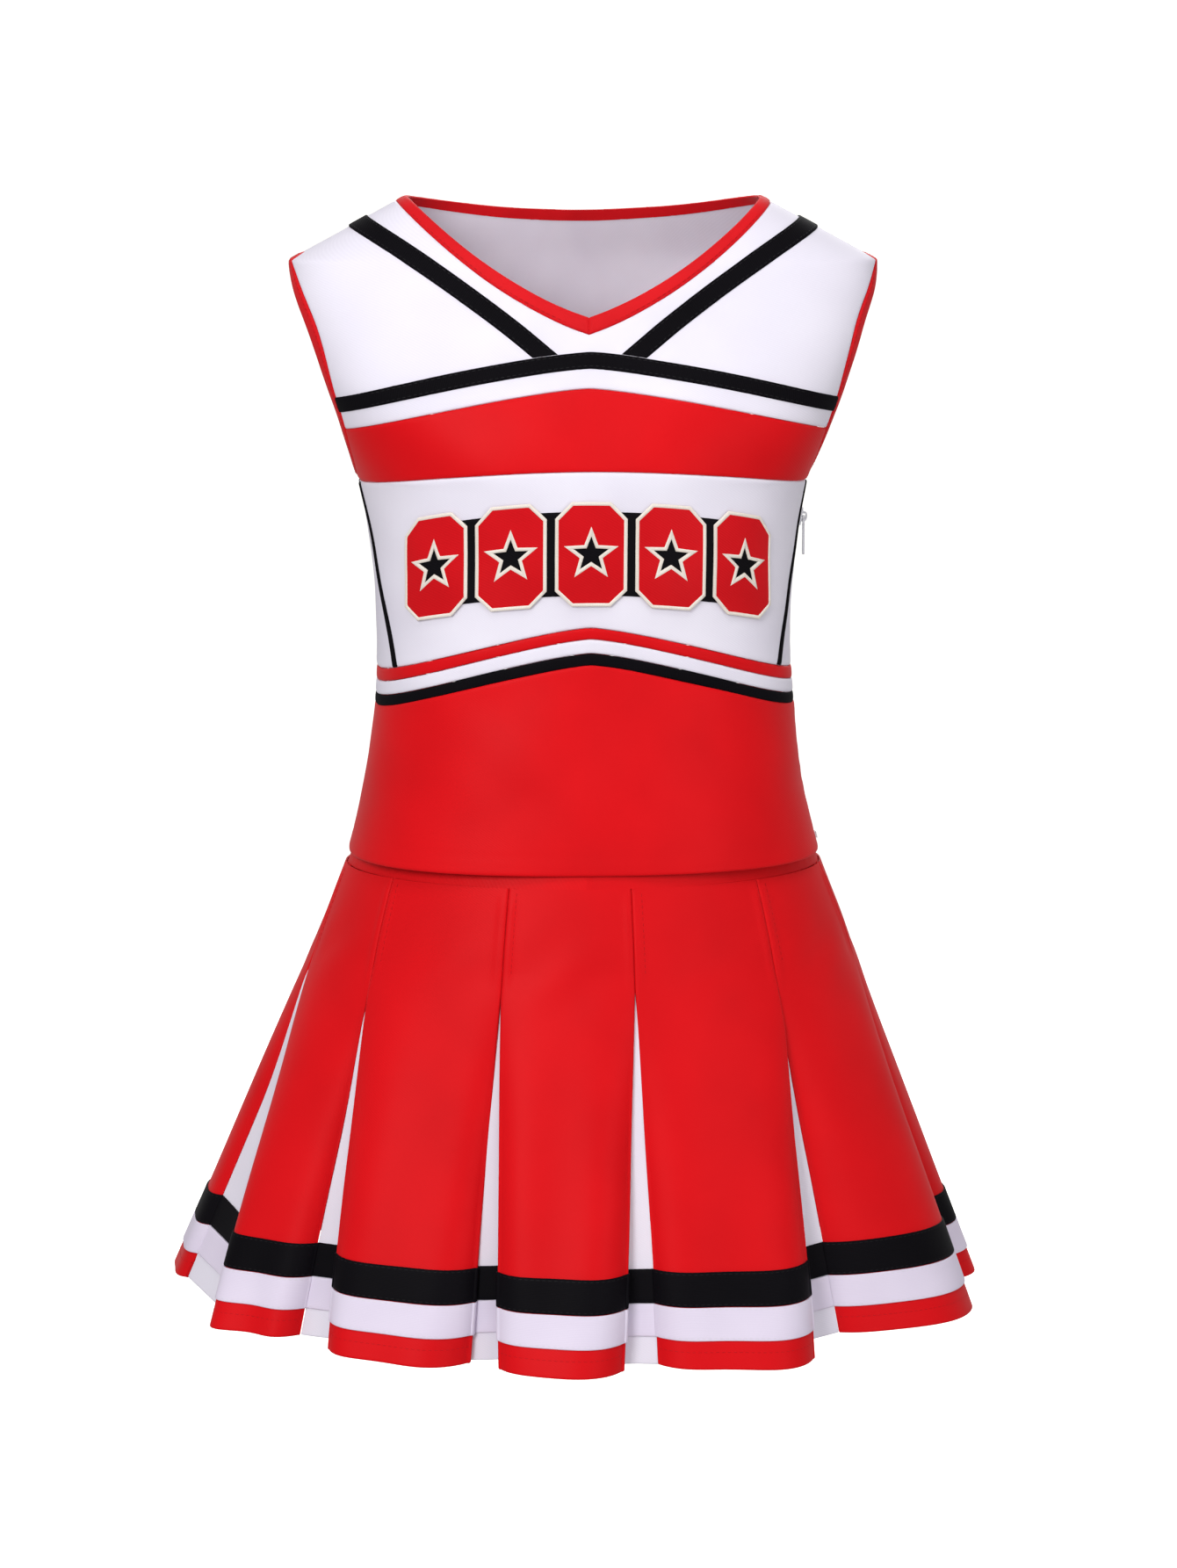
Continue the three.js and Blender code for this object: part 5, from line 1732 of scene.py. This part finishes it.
    def build_seam_stitching(self) -> None:
        """Edge stitching beside each pleat seam down to its release, and along the red hem."""
        rows = []
        for i in range(len(self.seams)):
            face = self.panel(i, np.linspace(2, self.release + 1, 24))
            beside = self.edge_columns + 4
            rows.append(Stitches(radius=0.2).along(face[:, beside], grid_normals(face)[:, beside]))
            level_rows = np.array([self.length - 11, self.length - 10, self.length - 9])
            hem = self.panel(i, level_rows)[:, self.edge_columns : -self.edge_columns]
            rows.append(Stitches(radius=0.18).along(hem[1], grid_normals(hem)[1]))
        dress(rows[0].joined(*rows[1:]).build("skirt_stitching", RED_THREAD), "skirt", "red_twill")

    def build(self) -> None:
        """Builds the whole skirt below the waistband."""
        self.build_cloth()
        self.build_ribbons()
        self.build_seam_stitching()


# ---------------------------------------------------------------- studio


@dataclass
class Studio:
    """A plain white floor, soft lights and the camera."""

    target: tuple[float, float, float] = (0.0032, 0.0, 0.0152)
    distance: float = 2.581
    azimuth: float = -2.8
    elevation: float = 9.0
    lens: float = 96.5
    floor_z: float = -0.72
    ambient: float = 0.46
    floor_glow: float = 0.68
    reach: float = 60.0

    def paint(self, name: str, glow: float) -> bpy.types.Material:
        """Matt white paint that is lit from behind.

        Args:
            name: the material's name.
            glow: how much light it gives off.

        Returns:
            The material.
        """
        material = bpy.data.materials.new(name)
        material.use_nodes = True
        shader = material.node_tree.nodes["Principled BSDF"]
        for socket, value in (("Base Color", linear("#f4f3f1")), ("Roughness", 0.9),
                              ("Emission Strength", glow), ("Emission Color", linear("#fffefa"))):
            shader.inputs[socket].default_value = value
        return material

    def build_floor(self) -> None:
        """A wide white floor and a white dome beyond it, neither of which lights the object."""
        turn = np.arange(96) / 96 * math.tau
        floor_mesh = bpy.data.meshes.new("studio_floor")
        floor_mesh.from_pydata([(self.reach * math.cos(a), self.reach * math.sin(a), self.floor_z)
                                for a in turn], [], [list(range(96))])
        floor_mesh.materials.append(self.paint("matt_white_floor_paint", self.floor_glow))
        dome_mesh = bpy.data.meshes.new("studio_dome")
        rings = [[(self.reach * math.cos(e) * math.cos(a), self.reach * math.cos(e) * math.sin(a),
                   self.reach * math.sin(e)) for a in turn] for e in np.radians(np.arange(88, -6, -6))]
        grid = np.array(rings)
        dome_mesh.from_pydata(grid.reshape(-1, 3).tolist(), [], grid_faces(*grid.shape[:2], closed=True))
        dome_mesh.materials.append(self.paint("matt_white_dome_paint", 1.0))
        for mesh in (floor_mesh, dome_mesh):
            stand = bpy.data.objects.new(mesh.name, mesh)
            bpy.context.scene.collection.objects.link(stand)
            stand.visible_diffuse = stand.visible_glossy = stand.visible_shadow = False

    def build_lights(self) -> None:
        """A dim white surround, with a large soft key from the front left and a weak fill."""
        world = bpy.data.worlds.new("studio_surround")
        world.use_nodes = True
        background = world.node_tree.nodes["Background"]
        background.inputs["Color"].default_value = (1.0, 1.0, 1.0, 1.0)
        background.inputs["Strength"].default_value = self.ambient
        bpy.context.scene.world = world
        for name, place, size, power in (
            ("key", (-1.2, -2.4, 1.2), 1.1, 43.0),
            ("fill", (1.6, -2.2, 0.2), 1.4, 13.0),
            ("top", (0.1, -0.9, 1.5), 0.5, 5.5),
            ("back", (0.5, 2.3, 1.5), 1.8, 30.0),
        ):
            light = bpy.data.lights.new(f"{name}_softbox", "AREA")
            light.size = size
            light.energy = power
            lamp = bpy.data.objects.new(f"{name}_softbox", light)
            lamp.location = place
            lamp.rotation_euler = (Vector(self.target) - Vector(place)).to_track_quat("-Z", "Y").to_euler()
            bpy.context.scene.collection.objects.link(lamp)

    def build_camera(self) -> None:
        """The camera, a little above waist height and in front of the uniform."""
        a, e = math.radians(self.azimuth), math.radians(self.elevation)
        away = Vector((math.sin(a) * math.cos(e), -math.cos(a) * math.cos(e), math.sin(e)))
        camera = bpy.data.cameras.new("camera")
        camera.lens = self.lens
        camera.sensor_width = 36
        viewer = bpy.data.objects.new("camera", camera)
        viewer.location = Vector(self.target) + away * self.distance
        viewer.rotation_euler = (-away).to_track_quat("-Z", "Y").to_euler()
        bpy.context.scene.collection.objects.link(viewer)
        bpy.context.scene.camera = viewer

    def build(self) -> None:
        """Builds the studio. Colours are shown as they are, with no film curve."""
        bpy.context.scene.view_settings.view_transform = "Standard"
        self.build_floor()
        self.build_lights()
        self.build_camera()


def main() -> None:
    """Builds the studio and every piece of the uniform."""
    logging.basicConfig(level=logging.INFO, format="%(name)s: %(message)s")
    Studio().build()
    top = ShellTop()
    top.build()
    trims = Trims()
    trims.build()
    top.declare()
    Emblem().build()
    SideZip().build()
    Waistband().build()
    PleatedSkirt().build()


if __name__ == "__main__":
    main()
